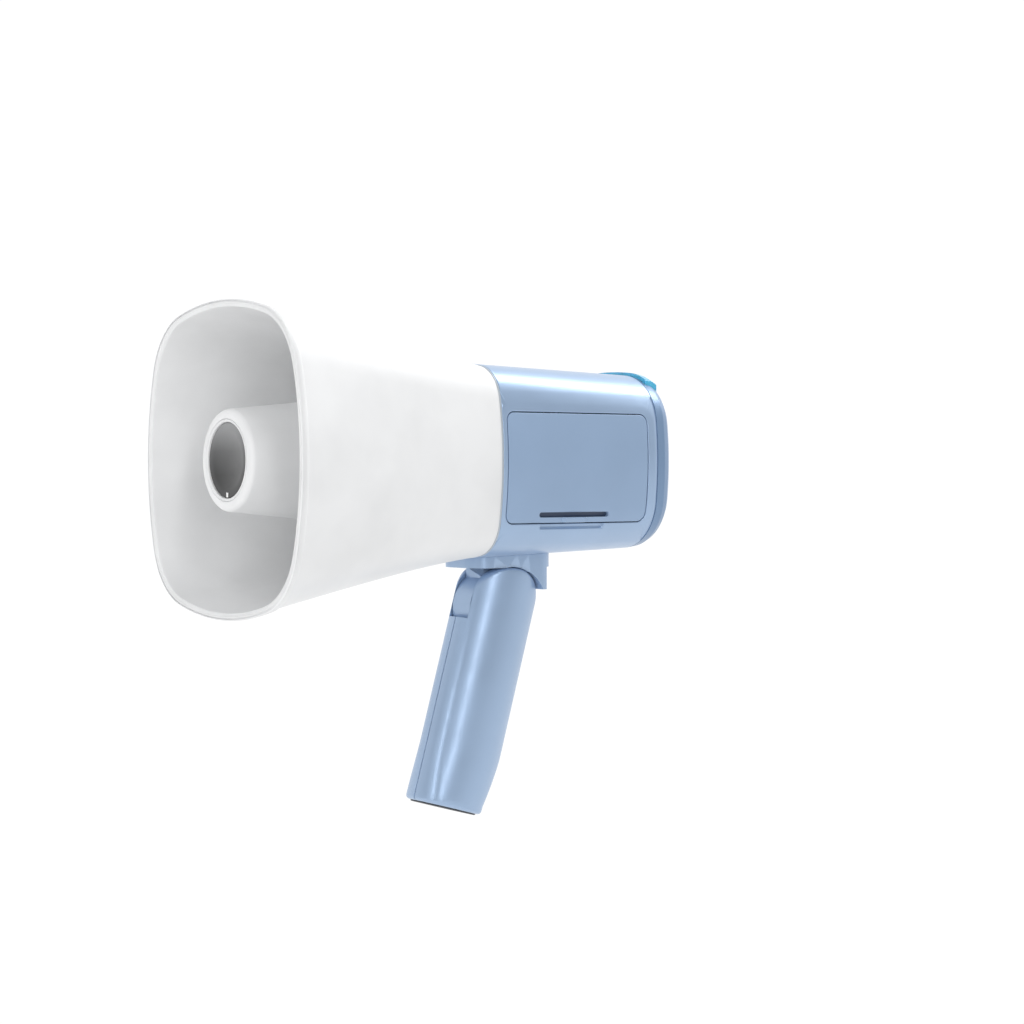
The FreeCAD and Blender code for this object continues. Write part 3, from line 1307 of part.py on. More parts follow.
def make_pin(pivot, lug):
    """Pivot pin, and the sprung ball that holds the handle in place."""
    end = dim.pin_end_gap - dim.grip_half_width
    blind_end = dim.grip_half_width - dim.pin_blind_wall
    head = rod("pin_head", "X", dim.pin_head_radius - dim.fit_gap, end, end + dim.pin_head_depth, pivot)
    shaft = rod("pin_shaft", "X", dim.pin_radius, end, blind_end - dim.hinge_gap, pivot)
    keep(fuse("pin", head, shaft), "pivot_pin")
    ball_z = dim.pivot_z - dim.knuckle_radius + dim.ball_radius
    ball = doc.addObject("Part::Sphere", "ball")
    bind(ball, "Radius", dim.ball_radius - dim.fit_gap)
    keep(move(ball, 0, dim.pivot_y, ball_z), "detent_ball")
    coil = doc.addObject("Part::Cylinder", "detent_coil")
    bind(coil, "Radius", dim.ball_radius - dim.fit_gap)
    bind(coil, "Height", dim.knuckle_radius - dim.pin_radius * 2 - dim.ball_radius * 2)
    keep(move(coil, 0, dim.pivot_y, ball_z + dim.ball_radius), "detent_spring")


def make_saddle_screws(seat_top):
    screws = [screw(f"saddle_screw_{i}", "Z", seat_top, dim.saddle_bottom + OVER, place)
              for i, place in enumerate(saddle_screw_places())]
    keep(group("saddle_screw_set", *screws), "bracket_screws")


def on_handle(thing):
    """Swing a piece from the handle's own frame to its rest position."""
    thing.Placement = Placement(Vector(), Rotation(Vector(-1, 0, 0), dim.lean.value))
    bind(thing, "Placement.Rotation.Angle", dim.lean)
    bind(thing, "Placement.Base.y", dim.pivot_y)
    bind(thing, "Placement.Base.z", dim.pivot_z)
    return thing


def grip_solid(name, stations, inset):
    """The grip between heights in its own frame. Each station is a height, how far the heel is
    drawn forwards there and how far the whole edge is drawn in."""
    sections = []
    for i, (z, heel, drawn) in enumerate(stations):
        section = rounded_section(f"{name}_{i}", "Z", z, dim.grip_half_width - drawn - inset,
                                  dim.grip_half_depth - heel / 2 - drawn - inset,
                                  dim.grip_side_ratio, dim.grip_corner_ratio)
        sections.append(move(section, 0, heel / -2, z))
    return loft(name, sections, ruled=True)


HEEL_STEPS = ((0.5, 0.42), (0.75, 0.14), (1.0, 0.0))    # share of the height, share of the taper


def heel_stations(start, edge):
    """The tapering lower end of the grip, from its foot to above the heel."""
    foot = -dim.grip_length
    none = as_size(0)
    stations = [(start, dim.heel_taper, edge)]
    if edge.value:
        stations.append((foot + dim.grip_edge, dim.heel_taper, none))
    else:
        stations.append((foot, dim.heel_taper, none))
    stations.append((foot + dim.foot_plug, dim.heel_taper, none))
    for height, taper in HEEL_STEPS:
        stations.append((foot + dim.heel_height * height, dim.heel_taper * taper, none))
    return stations


def make_handle():
    """The folding handle: two half shells round the lug, screwed together."""
    foot = -dim.grip_length
    none = as_size(0)
    stations = heel_stations(foot, dim.grip_foot_taper)
    stations.append((dim.ear_radius + OVER, none, none))
    outer = grip_solid("grip_outer", stations, none)
    wide = dim.grip_half_width + OVER
    deep = dim.grip_half_depth + OVER
    side = fuse("grip_side", box("grip_shaft", (-wide, wide), (-deep, deep), (foot, 0)),
                rod("grip_arch", "X", dim.ear_radius, -wide, wide))
    slot_half = dim.lug_half_width + dim.hinge_gap
    top = dim.ear_radius + OVER
    slot_drum = rod("slot_drum", "X", dim.knuckle_radius + dim.hinge_gap, -slot_half, slot_half)
    slot_front = box("slot_front", (-slot_half, slot_half), (-deep - OVER, 0), (-dim.slot_front_drop, top))
    slot_rear = box("slot_rear", (-slot_half, slot_half), (0, dim.slot_rear_length), (dim.slot_rear_z, top))
    cavity_stations = heel_stations(foot - OVER, none)
    cavity_stations.append((dim.grip_cavity_top, none, none))
    cavity = grip_solid("grip_cavity", cavity_stations, dim.grip_wall + dim.grip_foot_taper / 2)
    floor = foot + dim.foot_plug
    pin_bore = rod("pin_bore", "X", dim.pin_radius + dim.pin_running_gap, -wide,
                   dim.grip_half_width - dim.pin_blind_wall)
    seat_end = dim.pin_end_gap + dim.pin_head_depth + dim.hinge_gap / 2 - dim.grip_half_width
    head_seat = rod("pin_head_seat", "X", dim.pin_head_radius, -wide, seat_end)
    solid = cut("grip_hollow", common("grip_body", outer, side), slot_drum, slot_front, slot_rear,
                cavity, pin_bore, head_seat)
    heights = [dim.grip_screw_top - dim.grip_screw_spacing * i for i in range(2)]
    reach = dim.grip_half_width - dim.grip_wall / 2
    bosses = [rod(f"grip_boss_{i}", "X", dim.grip_boss_radius, -reach, reach, (0, z))
              for i, z in enumerate(heights)]
    head_at = dim.screw_head_depth + dim.screw_head_sink - dim.grip_half_width
    holes = [rod(f"grip_hole_{i}", "X", dim.screw_radius, -wide, dim.grip_half_width / 2, (0, z))
             for i, z in enumerate(heights)]
    heads = [rod(f"grip_head_seat_{i}", "X", dim.screw_head_radius + dim.fit_gap, -wide, head_at, (0, z))
             for i, z in enumerate(heights)]
    core = grip_solid("grip_core", stations, dim.groove_depth)
    band = box("groove_band", (-dim.groove_half, dim.groove_half), (-deep, deep), (foot, 0))
    groove = cut("grip_groove", band, core)
    whole = cut("grip_whole", fuse("grip_bossed", solid, *bosses), *holes, *heads, groove)
    tall = (foot - OVER, top)
    for label, x in (("handle_left", (-wide, 0)), ("handle_right", (0, wide))):
        half = common(f"{label}_half", whole, box(f"{label}_side", x, (-deep, deep), tall))
        keep(on_handle(half), label)
    screws = [screw(f"grip_screw_{i}", "X", head_at, dim.grip_half_width / 2, (0, z))
              for i, z in enumerate(heights)]
    keep(on_handle(group("grip_screw_set", *screws)), "handle_screws")
    inset = dim.grip_wall + dim.grip_foot_taper / 2 + dim.fit_gap
    heel = dim.heel_taper
    plug = grip_solid("foot_plug_solid", [(foot, heel, none), (floor, heel, none)], inset)
    rim = grip_solid("foot_rim", [(foot - dim.foot_relief, heel, dim.foot_relief / 2),
                                  (foot, heel, none)], dim.foot_inset)
    keep(on_handle(fuse("foot", plug, rim)), "handle_end_cap")


# ---------------------------------------------------------------- build and write

make_bell()
make_seam()
make_reflector()
make_throat()
make_driver()
make_body()
make_battery()
make_main_board()
make_rear_cap()
make_controls()
make_handle()
doc.recompute()

for thing in doc.Objects:
    if "Invalid" in thing.State or "Error" in thing.State:
        raise RuntimeError(f"{thing.Name} failed: {thing.State}")
for part in parts:
    if part.Shape.isNull() or not part.Shape.isValid() or not part.Shape.Solids:
        raise RuntimeError(f"{part.Label} has no valid solid")
for part in parts:
    part.Shape.exportStep(f"parts/{part.Label}.step")
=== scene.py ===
import bisect
import json
import math

import bmesh
import bpy
from mathutils import Matrix, Vector


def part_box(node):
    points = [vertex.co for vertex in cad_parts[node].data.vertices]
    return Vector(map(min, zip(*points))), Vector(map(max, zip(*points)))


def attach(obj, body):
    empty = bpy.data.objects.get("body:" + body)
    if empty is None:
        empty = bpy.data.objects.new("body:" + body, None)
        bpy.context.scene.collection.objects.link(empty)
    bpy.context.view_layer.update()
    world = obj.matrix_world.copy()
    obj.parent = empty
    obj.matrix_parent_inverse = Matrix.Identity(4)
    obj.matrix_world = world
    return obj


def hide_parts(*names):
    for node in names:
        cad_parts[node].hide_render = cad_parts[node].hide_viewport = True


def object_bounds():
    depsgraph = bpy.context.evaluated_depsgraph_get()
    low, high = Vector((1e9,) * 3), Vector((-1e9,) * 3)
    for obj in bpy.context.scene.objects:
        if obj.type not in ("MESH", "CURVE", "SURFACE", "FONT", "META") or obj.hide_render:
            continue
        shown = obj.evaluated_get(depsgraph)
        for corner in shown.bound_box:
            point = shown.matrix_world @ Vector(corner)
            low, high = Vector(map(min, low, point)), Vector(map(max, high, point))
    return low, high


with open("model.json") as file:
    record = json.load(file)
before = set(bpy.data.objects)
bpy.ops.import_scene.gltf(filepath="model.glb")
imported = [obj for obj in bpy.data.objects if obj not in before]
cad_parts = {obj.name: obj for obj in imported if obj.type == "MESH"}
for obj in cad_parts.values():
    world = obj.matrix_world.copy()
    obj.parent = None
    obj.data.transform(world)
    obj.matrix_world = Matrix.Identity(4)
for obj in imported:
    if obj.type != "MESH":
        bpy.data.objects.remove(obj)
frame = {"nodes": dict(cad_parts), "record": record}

MM = 0.001
NODES = frame["nodes"]
CAD_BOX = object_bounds()


# ---------------------------------------------------------------- materials


class Finish:
    """A node material: a principled shader, with helpers for texture driven detail."""

    def __init__(self, name, roughness=0.4, metallic=0.0, coat=0.0, specular=0.5):
        self.material = bpy.data.materials.new(name)
        self.material.use_nodes = True
        self.tree = self.material.node_tree
        self.shader = self.tree.nodes["Principled BSDF"]
        self.shader.inputs["Roughness"].default_value = roughness
        self.shader.inputs["Metallic"].default_value = metallic
        self.shader.inputs["Coat Weight"].default_value = coat
        self.shader.inputs["Coat Roughness"].default_value = 0.18
        self.shader.inputs["Specular IOR Level"].default_value = specular
        self.place = self.add("ShaderNodeTexCoord").outputs["Object"]
        rounded = self.add("ShaderNodeBevel", samples=6)
        rounded.inputs["Radius"].default_value = 0.3 * MM
        self.normal = rounded.outputs["Normal"]

    def add(self, kind, **values):
        node = self.tree.nodes.new(kind)
        for name, value in values.items():
            setattr(node, name, value)
        return node

    def link(self, source, target):
        self.tree.links.new(source, target)

    def noise(self, size, detail=4.0, stretch=(1, 1, 1), roughness=0.5):
        """Noise whose features are about size millimetres across."""
        mapping = self.add("ShaderNodeMapping")
        mapping.inputs["Scale"].default_value = stretch
        self.link(self.place, mapping.inputs["Vector"])
        noise = self.add("ShaderNodeTexNoise")
        noise.inputs["Scale"].default_value = 1 / (size * MM)
        noise.inputs["Detail"].default_value = detail
        noise.inputs["Roughness"].default_value = roughness
        self.link(mapping.outputs["Vector"], noise.inputs["Vector"])
        return noise.outputs["Fac"]

    def ramp(self, factor, *stops):
        """A colour ramp; each stop is (place, colour)."""
        ramp = self.add("ShaderNodeValToRGB")
        band = ramp.color_ramp
        while len(band.elements) < len(stops):
            band.elements.new(0.5)
        for element, (place, colour) in zip(band.elements, stops):
            element.position = place
            element.color = (*colour, 1.0)
        self.link(factor, ramp.inputs["Fac"])
        return ramp.outputs["Color"]

    def spread(self, factor, low, high):
        """Map a 0.3 to 0.7 factor, the usual span of noise, onto low to high."""
        remap = self.add("ShaderNodeMapRange")
        remap.inputs["From Min"].default_value = 0.3
        remap.inputs["From Max"].default_value = 0.7
        remap.inputs["To Min"].default_value = low
        remap.inputs["To Max"].default_value = high
        self.link(factor, remap.inputs["Value"])
        return remap.outputs["Result"]

    def colour(self, factor, low, high):
        self.link(self.ramp(factor, (0.35, low), (0.65, high)), self.shader.inputs["Base Color"])

    def rough(self, factor, low, high):
        self.link(self.spread(factor, low, high), self.shader.inputs["Roughness"])

    def bump(self, height, depth, strength=1.0):
        """Stack a bump of depth millimetres on what is there already."""
        bump = self.add("ShaderNodeBump")
        bump.inputs["Strength"].default_value = strength
        bump.inputs["Distance"].default_value = depth * MM
        self.link(height, bump.inputs["Height"])
        self.link(self.normal, bump.inputs["Normal"])
        self.normal = bump.outputs["Normal"]
        self.link(self.normal, self.shader.inputs["Normal"])


def shade(colour, factor):
    return tuple(min(1.0, channel * factor) for channel in colour)


def moulded(name, colour, roughness, grain=0.35, coat=0.25, vary=0.03):
    """Moulded plastic: faint colour drift, fine spark-eroded grain and a smooth top coat."""
    finish = Finish(name, roughness, coat=coat)
    drift = finish.noise(28.0, 3.0)
    finish.colour(drift, shade(colour, 1 - vary), shade(colour, 1 + vary))
    finish.rough(finish.noise(6.0, 5.0), roughness * 0.88, roughness * 1.12)
    finish.bump(finish.noise(grain, 2.0), 0.004, 0.35)
    finish.bump(finish.noise(9.0, 1.0), 0.03, 0.12)
    return finish.material


def pearl(name, colour, roughness=0.36, metallic=0.5):
    """Satin lacquer over plastic: a slight colour drift, a faint orange peel and a clear top."""
    finish = Finish(name, roughness, metallic, 0.2)
    drift = finish.noise(35.0, 2.0)
    finish.colour(drift, shade(colour, 0.975), shade(colour, 1.025))
    finish.shader.inputs["Sheen Weight"].default_value = 0.06
    finish.rough(finish.noise(5.0, 4.0), roughness * 0.92, roughness * 1.08)
    finish.bump(finish.noise(7.0, 1.0), 0.015, 0.08)
    finish.bump(finish.noise(0.5, 2.0), 0.002, 0.25)
    return finish.material


def dark_dish_painted_reflection(name):
    """Dark lacquer in the dish, with a painted reflection: its colour pales towards its top, standing in for
    light from above mirrored in a polished bowl.
    """
    reach = 14.3 * MM
    finish = Finish(name, 0.32, 0.0, 0.3)
    split = finish.add("ShaderNodeSeparateXYZ")
    finish.link(finish.place, split.inputs["Vector"])
    height = finish.add("ShaderNodeMapRange")
    height.inputs["From Min"].default_value = -reach
    height.inputs["From Max"].default_value = reach
    finish.link(split.outputs["Z"], height.inputs["Value"])
    # Painted reflection: the near-black lacquer is lifted to grey towards the top of the dish, in place of a
    # light mirrored from above.
    painted_top_reflection = finish.ramp(height.outputs["Result"],
                       (0.0, (0.004, 0.004, 0.004)), (0.3, (0.015, 0.015, 0.015)),
                       (0.62, (0.075, 0.076, 0.078)), (1.0, (0.27, 0.275, 0.28)))
    finish.link(painted_top_reflection, finish.shader.inputs["Base Color"])
    finish.rough(finish.noise(4.0, 4.0), 0.28, 0.36)
    finish.bump(finish.noise(0.4, 2.0), 0.003, 0.3)
    return finish.material


def metal(name, colour, roughness=0.28, brush=(1, 1, 1)):
    """Plated or turned metal with fine directional marks."""
    finish = Finish(name, roughness, 1.0)
    marks = finish.noise(0.5, 6.0, brush, 0.65)
    finish.colour(marks, shade(colour, 0.85), shade(colour, 1.1))
    finish.rough(marks, roughness * 0.7, roughness * 1.35)
    finish.bump(marks, 0.006, 0.25)
    return finish.material


def soft_rubber(name, colour):
    finish = Finish(name, 0.75, 0.0, 0.0, 0.3)
    dust = finish.noise(3.0, 6.0)
    finish.colour(dust, shade(colour, 0.85), shade(colour, 1.25))
    finish.rough(dust, 0.66, 0.84)
    finish.bump(finish.noise(0.4, 3.0), 0.01, 0.5)
    return finish.material


def translucent(name, colour):
    """Tinted clear plastic that lights up a little from within."""
    finish = Finish(name, 0.16, 0.0, 0.3)
    finish.colour(finish.noise(8.0, 2.0), shade(colour, 0.94), shade(colour, 1.06))
    finish.shader.inputs["Transmission Weight"].default_value = 0.2
    finish.shader.inputs["IOR"].default_value = 1.49
    finish.shader.inputs["Subsurface Weight"].default_value = 0.3
    finish.shader.inputs["Subsurface Radius"].default_value = (0.002, 0.004, 0.005)
    finish.bump(finish.noise(2.0, 1.0), 0.01, 0.2)
    return finish.material


def circuit(name, colour):
    """Solder mask with a faint pattern of tracks."""
    finish = Finish(name, 0.35, 0.0, 0.3)
    tracks = finish.add("ShaderNodeTexBrick")
    tracks.inputs["Scale"].default_value = 1 / (8.0 * MM)
    tracks.inputs["Mortar Size"].default_value = 0.03
    tracks.inputs["Color1"].default_value = (*colour, 1)
    tracks.inputs["Color2"].default_value = (*shade(colour, 1.15), 1)
    tracks.inputs["Mortar"].default_value = (*shade(colour, 1.7), 1)
    finish.link(finish.place, tracks.inputs["Vector"])
    finish.link(tracks.outputs["Color"], finish.shader.inputs["Base Color"])
    finish.bump(tracks.outputs["Fac"], 0.03, 0.4)
    return finish.material


WHITE = (0.80, 0.805, 0.81)
BLUE = (0.34, 0.46, 0.64)
COVER_BLUE = (0.285, 0.40, 0.575)
CAP_BLUE = (0.17, 0.27, 0.43)


def make_finishes():
    return {
        "horn_white": moulded("horn_white", WHITE, 0.5, 0.35, 0.08),
        "reflector_white": moulded("reflector_white", shade(WHITE, 1.02), 0.45, 0.35, 0.1),
        "disc_dark": dark_dish_painted_reflection("disc_dark"),
        "mark_white": moulded("mark_white", (0.9, 0.9, 0.9), 0.5),
        "body_blue": pearl("body_blue", BLUE),
        "cover_blue": pearl("cover_blue", COVER_BLUE, 0.5, 0.2),
        "cap_blue": pearl("cap_blue", CAP_BLUE, 0.36, 0.4),
        # slot_blue is painted shade: a near-black blue for the floor of the cover's slot, standing in for the
        # shadow in that recess.
        "slot_blue": moulded("slot_blue", (0.03, 0.05, 0.10), 0.5),
        "seam_grey": moulded("seam_grey", (0.45, 0.50, 0.56), 0.5),
        "seal_rubber": soft_rubber("seal_rubber", (0.03, 0.035, 0.04)),
        "end_dark": moulded("end_dark", (0.02, 0.025, 0.035), 0.5, 0.3, 0.1, 0.1),
        "key_cyan": translucent("key_cyan", (0.12, 0.62, 0.92)),
        "key_grey": moulded("key_grey", (0.50, 0.55, 0.62), 0.45),
        "steel": metal("steel", (0.60, 0.60, 0.62), 0.30, (1, 6, 1)),
        "nickel": metal("nickel", (0.72, 0.71, 0.68), 0.2),
        "ferrite": moulded("ferrite", (0.05, 0.05, 0.055), 0.55, 0.5, 0.0, 0.2),
        "film": moulded("film", (0.55, 0.45, 0.20), 0.4, 0.3, 0.1, 0.1),
        "copper": metal("copper", (0.80, 0.40, 0.22), 0.3, (1, 12, 1)),
        "inner_black": moulded("inner_black", (0.03, 0.03, 0.032), 0.5, 0.4, 0.05, 0.12),
        "terminal_green": moulded("terminal_green", (0.06, 0.28, 0.12), 0.45),
        "board_green": circuit("board_green", (0.02, 0.16, 0.07)),
        "cell_wrap": moulded("cell_wrap", (0.06, 0.09, 0.16), 0.25, 0.3, 0.4, 0.08),
    }


# ---------------------------------------------------------------- building blocks


def ease(share):
    """A smooth step from 0 to 1, flat at both ends and beyond them."""
    share = min(1.0, max(0.0, share))
    return 3 * share ** 2 - 2 * share ** 3


def node_box(node):
    """The lowest and highest corner of a CAD node, in millimetres."""
    low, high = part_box(node)
    return Vector(low) / MM, Vector(high) / MM


def add_object(name, mesh):
    made = bpy.data.objects.new(name, mesh)
    bpy.context.scene.collection.objects.link(made)
    return made


def to_object(name, build, smooth_angle=32.0):
    """Turn a bmesh in millimetres into an object, smooth but for its real edges."""
    bmesh.ops.remove_doubles(build, verts=build.verts, dist=0.0005)
    bmesh.ops.recalc_face_normals(build, faces=build.faces)
    bmesh.ops.scale(build, vec=(MM, MM, MM), verts=build.verts)
    mesh = bpy.data.meshes.new(name)
    build.to_mesh(mesh)
    build.free()
    smooth(mesh, smooth_angle)
    return add_object(name, mesh)


def smooth(mesh, angle):
    mesh.shade_smooth()
    mesh.set_sharp_from_angle(angle=math.radians(angle))


def dress(piece, slot, body, *nodes):
    """Give a new piece its finish and its body, and hide the CAD nodes that it stands for."""
    piece.data.materials.clear()
    piece.data.materials.append(finishes[slot])
    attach(piece, body)
    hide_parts(*nodes)
    return piece


def lace(build, rings, closed=True):
    """Join rings of vertices, one to the next, with quads."""
    count = len(rings[0])
    last = count if closed else count - 1
    for low, high in zip(rings, rings[1:]):
        for i in range(last):
            j = (i + 1) % count
            corners = (low[i], low[j], high[j], high[i])
            if len({vertex.index for vertex in corners}) == 4:
                build.faces.new(corners)


def add_ring(build, points):
    ring = [build.verts.new(point) for point in points]
    build.verts.index_update()
    return ring


def arc_points(centre, radius, start, end, steps):
    """Points on an arc in a plane, the angles in degrees."""
    turns = [math.radians(start + (end - start) * i / steps) for i in range(steps + 1)]
    return [(centre[0] + radius * math.cos(turn), centre[1] + radius * math.sin(turn)) for turn in turns]


def lathe(name, profile, segments=128):
    """A closed form turned about the Y direction; the profile is (y, radius) points."""
    build = bmesh.new()
    rings = []
    for y, radius in profile:
        if radius == 0:
            rings.append([build.verts.new((0, y, 0))] * segments)
            continue
        turns = [2 * math.pi * i / segments for i in range(segments)]
        rings.append([build.verts.new((radius * math.cos(turn), y, radius * math.sin(turn)))
                      for turn in turns])
    if profile[0][1] or profile[-1][1]:
        rings.append(rings[0])
    for low, high in zip(rings, rings[1:]):
        for i in range(segments):
            j = (i + 1) % segments
            corners = [low[i], low[j], high[j], high[i]]
            corners = [v for k, v in enumerate(corners) if v not in corners[:k]]
            if len(corners) > 2:
                build.faces.new(corners)
    return to_object(name, build)


def corner_centre(width, height, side, crown, corner):
    """Where a corner arc sits so that it is tangent to the side arc and to the crown arc."""
    x = width - corner
    y = height - corner
    for _ in range(12):
        to_side = Vector((x - (width - side), y))
        to_crown = Vector((x, y - (height - crown)))
        miss_side = to_side.length - (side - corner)
        miss_crown = to_crown.length - (crown - corner)
        to_side.normalize()
        to_crown.normalize()
        spread = to_side.x * to_crown.y - to_side.y * to_crown.x
        x -= (to_crown.y * miss_side - to_side.y * miss_crown) / spread
        y -= (to_side.x * miss_crown - to_crown.x * miss_side) / spread
    return x, y


def rounded_square(half_width, half_height, side_ratio, corner_ratio, fine=1):
    """The outline of the horn and the body: four bowed sides and four rounder corners."""
    side = half_width * side_ratio
    crown = half_height * side_ratio
    corner = min(half_width, half_height) * corner_ratio
    x, y = corner_centre(half_width, half_height, side, crown, corner)
    low = math.degrees(math.atan2(y, x - (half_width - side)))
    high = math.degrees(math.atan2(y - (half_height - crown), x))
    quarter = arc_points((half_width - side, 0), side, 0, low, 10 * fine)[:-1]
    quarter += arc_points((x, y), corner, low, high, 14 * fine)[:-1]
    quarter += arc_points((0, half_height - crown), crown, high, 90, 10 * fine)[:-1]
    top = quarter + [(0, half_height)] + [(-u, v) for u, v in reversed(quarter[1:])]
    return top + [(-u, -v) for u, v in top]


# ---------------------------------------------------------------- form of the horn and body


LIP_BEAD = 0.8        # radius of the bead round the mouth


class Form:
    """The main sizes, in millimetres, read from the CAD model where it shows them."""

    def __init__(self):
        bell_high = node_box("horn_bell")[1]
        shell_low, shell_high = node_box("body_shell")
        self.mouth = (bell_high.x - LIP_BEAD, bell_high.z - LIP_BEAD)
        self.seam = node_box("seam_gasket")[0].y
        self.body_front = shell_low.y
        self.body_rear = shell_high.y
        self.waist = (36.6, 39.5)
        self.rear = (35.4, 36.9)
        self.wall = 2.2

    def bell(self, y, inset):
        """The bell's outline at a depth, drawn in by inset."""
        flare = max(0.0, 1 - y / self.seam) ** 1.28
        half_width = self.waist[0] + (self.mouth[0] - self.waist[0]) * flare
        half_height = self.waist[1] + (self.mouth[1] - self.waist[1]) * flare
        outline = rounded_square(half_width - inset, half_height - inset, 4.0 - 1.8 * flare,
                                 0.45 + 0.05 * flare)
        return [(x, y, z) for x, z in outline]

    def body_outline(self, y, inset, fine=1):
        along = (y - self.body_front) / (self.body_rear - self.body_front)
        half_width = self.waist[0] + (self.rear[0] - self.waist[0]) * along
        half_height = self.waist[1] + (self.rear[1] - self.waist[1]) * along
        return rounded_square(half_width - inset, half_height - inset, 4.0, 0.45 + 0.17 * along, fine)


# ---------------------------------------------------------------- horn


def make_bell(form):
    """The flared bell: outer skin, rolled lip with its flange, inner skin and back wall."""
    build = bmesh.new()
    lip = [(3.7, 0.0), (3.55, 0.12), (3.5, 0.35), (3.42, 0.65), (3.2, 0.8), (2.2, 0.82)]
    lip += [(LIP_BEAD - y, outset) for y, outset in arc_points((0, 0), LIP_BEAD, 0, 90, 7)]
    lip += [(0.0, -0.55), (0.05, -0.95), (0.32, -1.12), (0.45, -1.3), (0.5, -1.7)]
    lip += [(0.62, -1.95), (1.0, -2.05), (1.8, -2.0)]
    lip_rear = 4.2
    seam_round = 0.35
    steps = 44
    rings = []
    for i in range(steps):
        y = form.seam - (form.seam - lip_rear) * i / (steps - 1)
        edge = max(0.0, seam_round - (form.seam - y))
        rings.append(add_ring(build, form.bell(y, edge)))
    for y, outset in lip:
        rings.append(add_ring(build, form.bell(y, -outset)))
    back = 82.0
    fillet = 3.0
    wall = 2.0
    inner_front = 1.8
    for i in range(1, steps):
        y = inner_front + (back - fillet - inner_front) * i / (steps - 1)
        rings.append(add_ring(build, form.bell(y, wall)))
    for y, inset in arc_points((back - fillet, wall + fillet), fillet, 0, -90, 6)[::-1][1:]:
        rings.append(add_ring(build, form.bell(y, inset)))
    outer = form.bell(back, wall + fillet)
    count = len(outer)
    turns = [math.atan2(point[2], point[0]) for point in outer]
    bore = 9.6
    for share in (0.15, 0.35, 0.6, 0.8, 0.95, 1.0):
        rings.append(add_ring(build, [
            (outer[i][0] * (1 - share) + bore * math.cos(turns[i]) * share, back,
             outer[i][2] * (1 - share) + bore * math.sin(turns[i]) * share) for i in range(count)]))
    wall_back = back + 2.5
    rings.append(add_ring(build, [(bore * math.cos(turn), wall_back, bore * math.sin(turn))
                                  for turn in turns]))
    spigot_rear = form.seam + 3.4
    for y in (wall_back, form.seam - 3.5, spigot_rear):
        rings.append(add_ring(build, form.bell(y, 4.2)))
    for y, inset in ((spigot_rear, 2.45), (form.seam, 2.4), (form.seam, 0.5)):
        rings.append(add_ring(build, form.bell(y, inset)))
    rings.append(rings[0])
    lace(build, rings)
    return dress(to_object("bell", build), "horn_white", "housing", "horn_bell")


def make_pod():
    """The reflector in the mouth: a rounded cup with a raised ring and a dark dished disc."""
    low, high = node_box("reflector_cup")
    ring_outer = node_box("pod_bezel")[1].x
    face = low.y
    rear = high.y
    wide = high.x
    inner = ring_outer - 1.2
    front = 19.6
    floor = face + 7.0
    profile = [(face + 0.5, ring_outer + 0.02), (face + 0.12, ring_outer + 0.2)]
    profile += [(face, ring_outer + 0.55), (face, 17.0)]
    rounding = 2.4
    for x, y in arc_points((0, 0), rounding, 90, 0, 9):
        profile.append((face + rounding - y, front - rounding + x))
    taper_rear = 0.6
    steps = 16
    for i in range(1, steps + 1):
        share = i / steps
        profile.append((face + rounding + (rear - taper_rear - face - rounding) * share,
                        front + (wide - front) * share))
    profile += [(rear - 0.15, wide - 0.15), (rear, wide - 0.6), (rear, wide - 1.3), (rear - 0.5, wide - 1.8)]
    profile += [(floor + 2.9, front - 1.3), (floor + 2.4, front - 2.2), (floor + 2.4, 0)]
    shell = [(floor, 0), (floor, inner), (face + 3.0, inner), (face + 3.0, ring_outer + 0.02)] + profile
    dress(lathe("pod_shell", shell), "reflector_white", "housing", "reflector_cup")
    ring = [(face + 0.45, ring_outer), (face, ring_outer - 0.28), (face, ring_outer - 0.6),
            (face + 0.35, inner + 0.12), (face + 0.9, inner + 0.02), (face + 2.9, inner + 0.02),
            (face + 2.9, ring_outer)]
    dress(lathe("pod_ring", ring), "reflector_white", "housing", "pod_bezel")
    sink = node_box("pod_disc")[0].y
    rim = inner - 0.1
    dish = [(sink + 1.1, 0), (sink + 1.05, 2.0), (sink + 0.9, 5.0), (sink + 0.6, 8.5), (sink + 0.22, 11.0),
            (sink, 12.2), (sink, rim - 0.3), (sink + 0.3, rim), (sink + 2.0, rim), (sink + 2.0, 0)]
    dress(lathe("pod_dish", dish), "disc_dark", "housing", "pod_disc")


# ---------------------------------------------------------------- body casing and battery cover


class SideSkin:
    """The body's right-hand skin as a height field: how far out it is at each (y, z)."""

    def __init__(self, form, inset=0.0):
        self.form = form
        self.inset = inset
        self.known = {}

    def table(self, y):
        key = round(y, 3)
        if key not in self.known:
            outline = self.form.body_outline(y, self.inset, fine=4)
            right = sorted((z, x) for x, z in outline if x > 0)
            self.known[key] = right
        return self.known[key]

    def reach(self, y, z):
        right = self.table(y)
        place = bisect.bisect_left(right, (z, -1e9))
        place = min(max(place, 1), len(right) - 1)
        (z0, x0), (z1, x1) = right[place - 1], right[place]
        return x0 + (x1 - x0) * (z - z0) / (z1 - z0) if z1 != z0 else x0


def rounded_outline(low, high, radius, per_corner=10, spacing=1.2):
    """A rounded rectangle as points, evenly spaced along its straight sides."""
    corners = [((high[0] - radius, high[1] - radius), 0), ((low[0] + radius, high[1] - radius), 90),
               ((low[0] + radius, low[1] + radius), 180), ((high[0] - radius, low[1] + radius), 270)]
    points = []
    for i, (centre, start) in enumerate(corners):
        arc = arc_points(centre, radius, start, start + 90, per_corner)
        following = corners[(i + 1) % 4]
        first = arc_points(following[0], radius, following[1], following[1] + 90, 1)[0]
        points += arc
        run = Vector(first) - Vector(arc[-1])
        steps = max(1, round(run.length / spacing))
        points += [tuple(Vector(arc[-1]) + run * (k / steps)) for k in range(1, steps)]
    return points


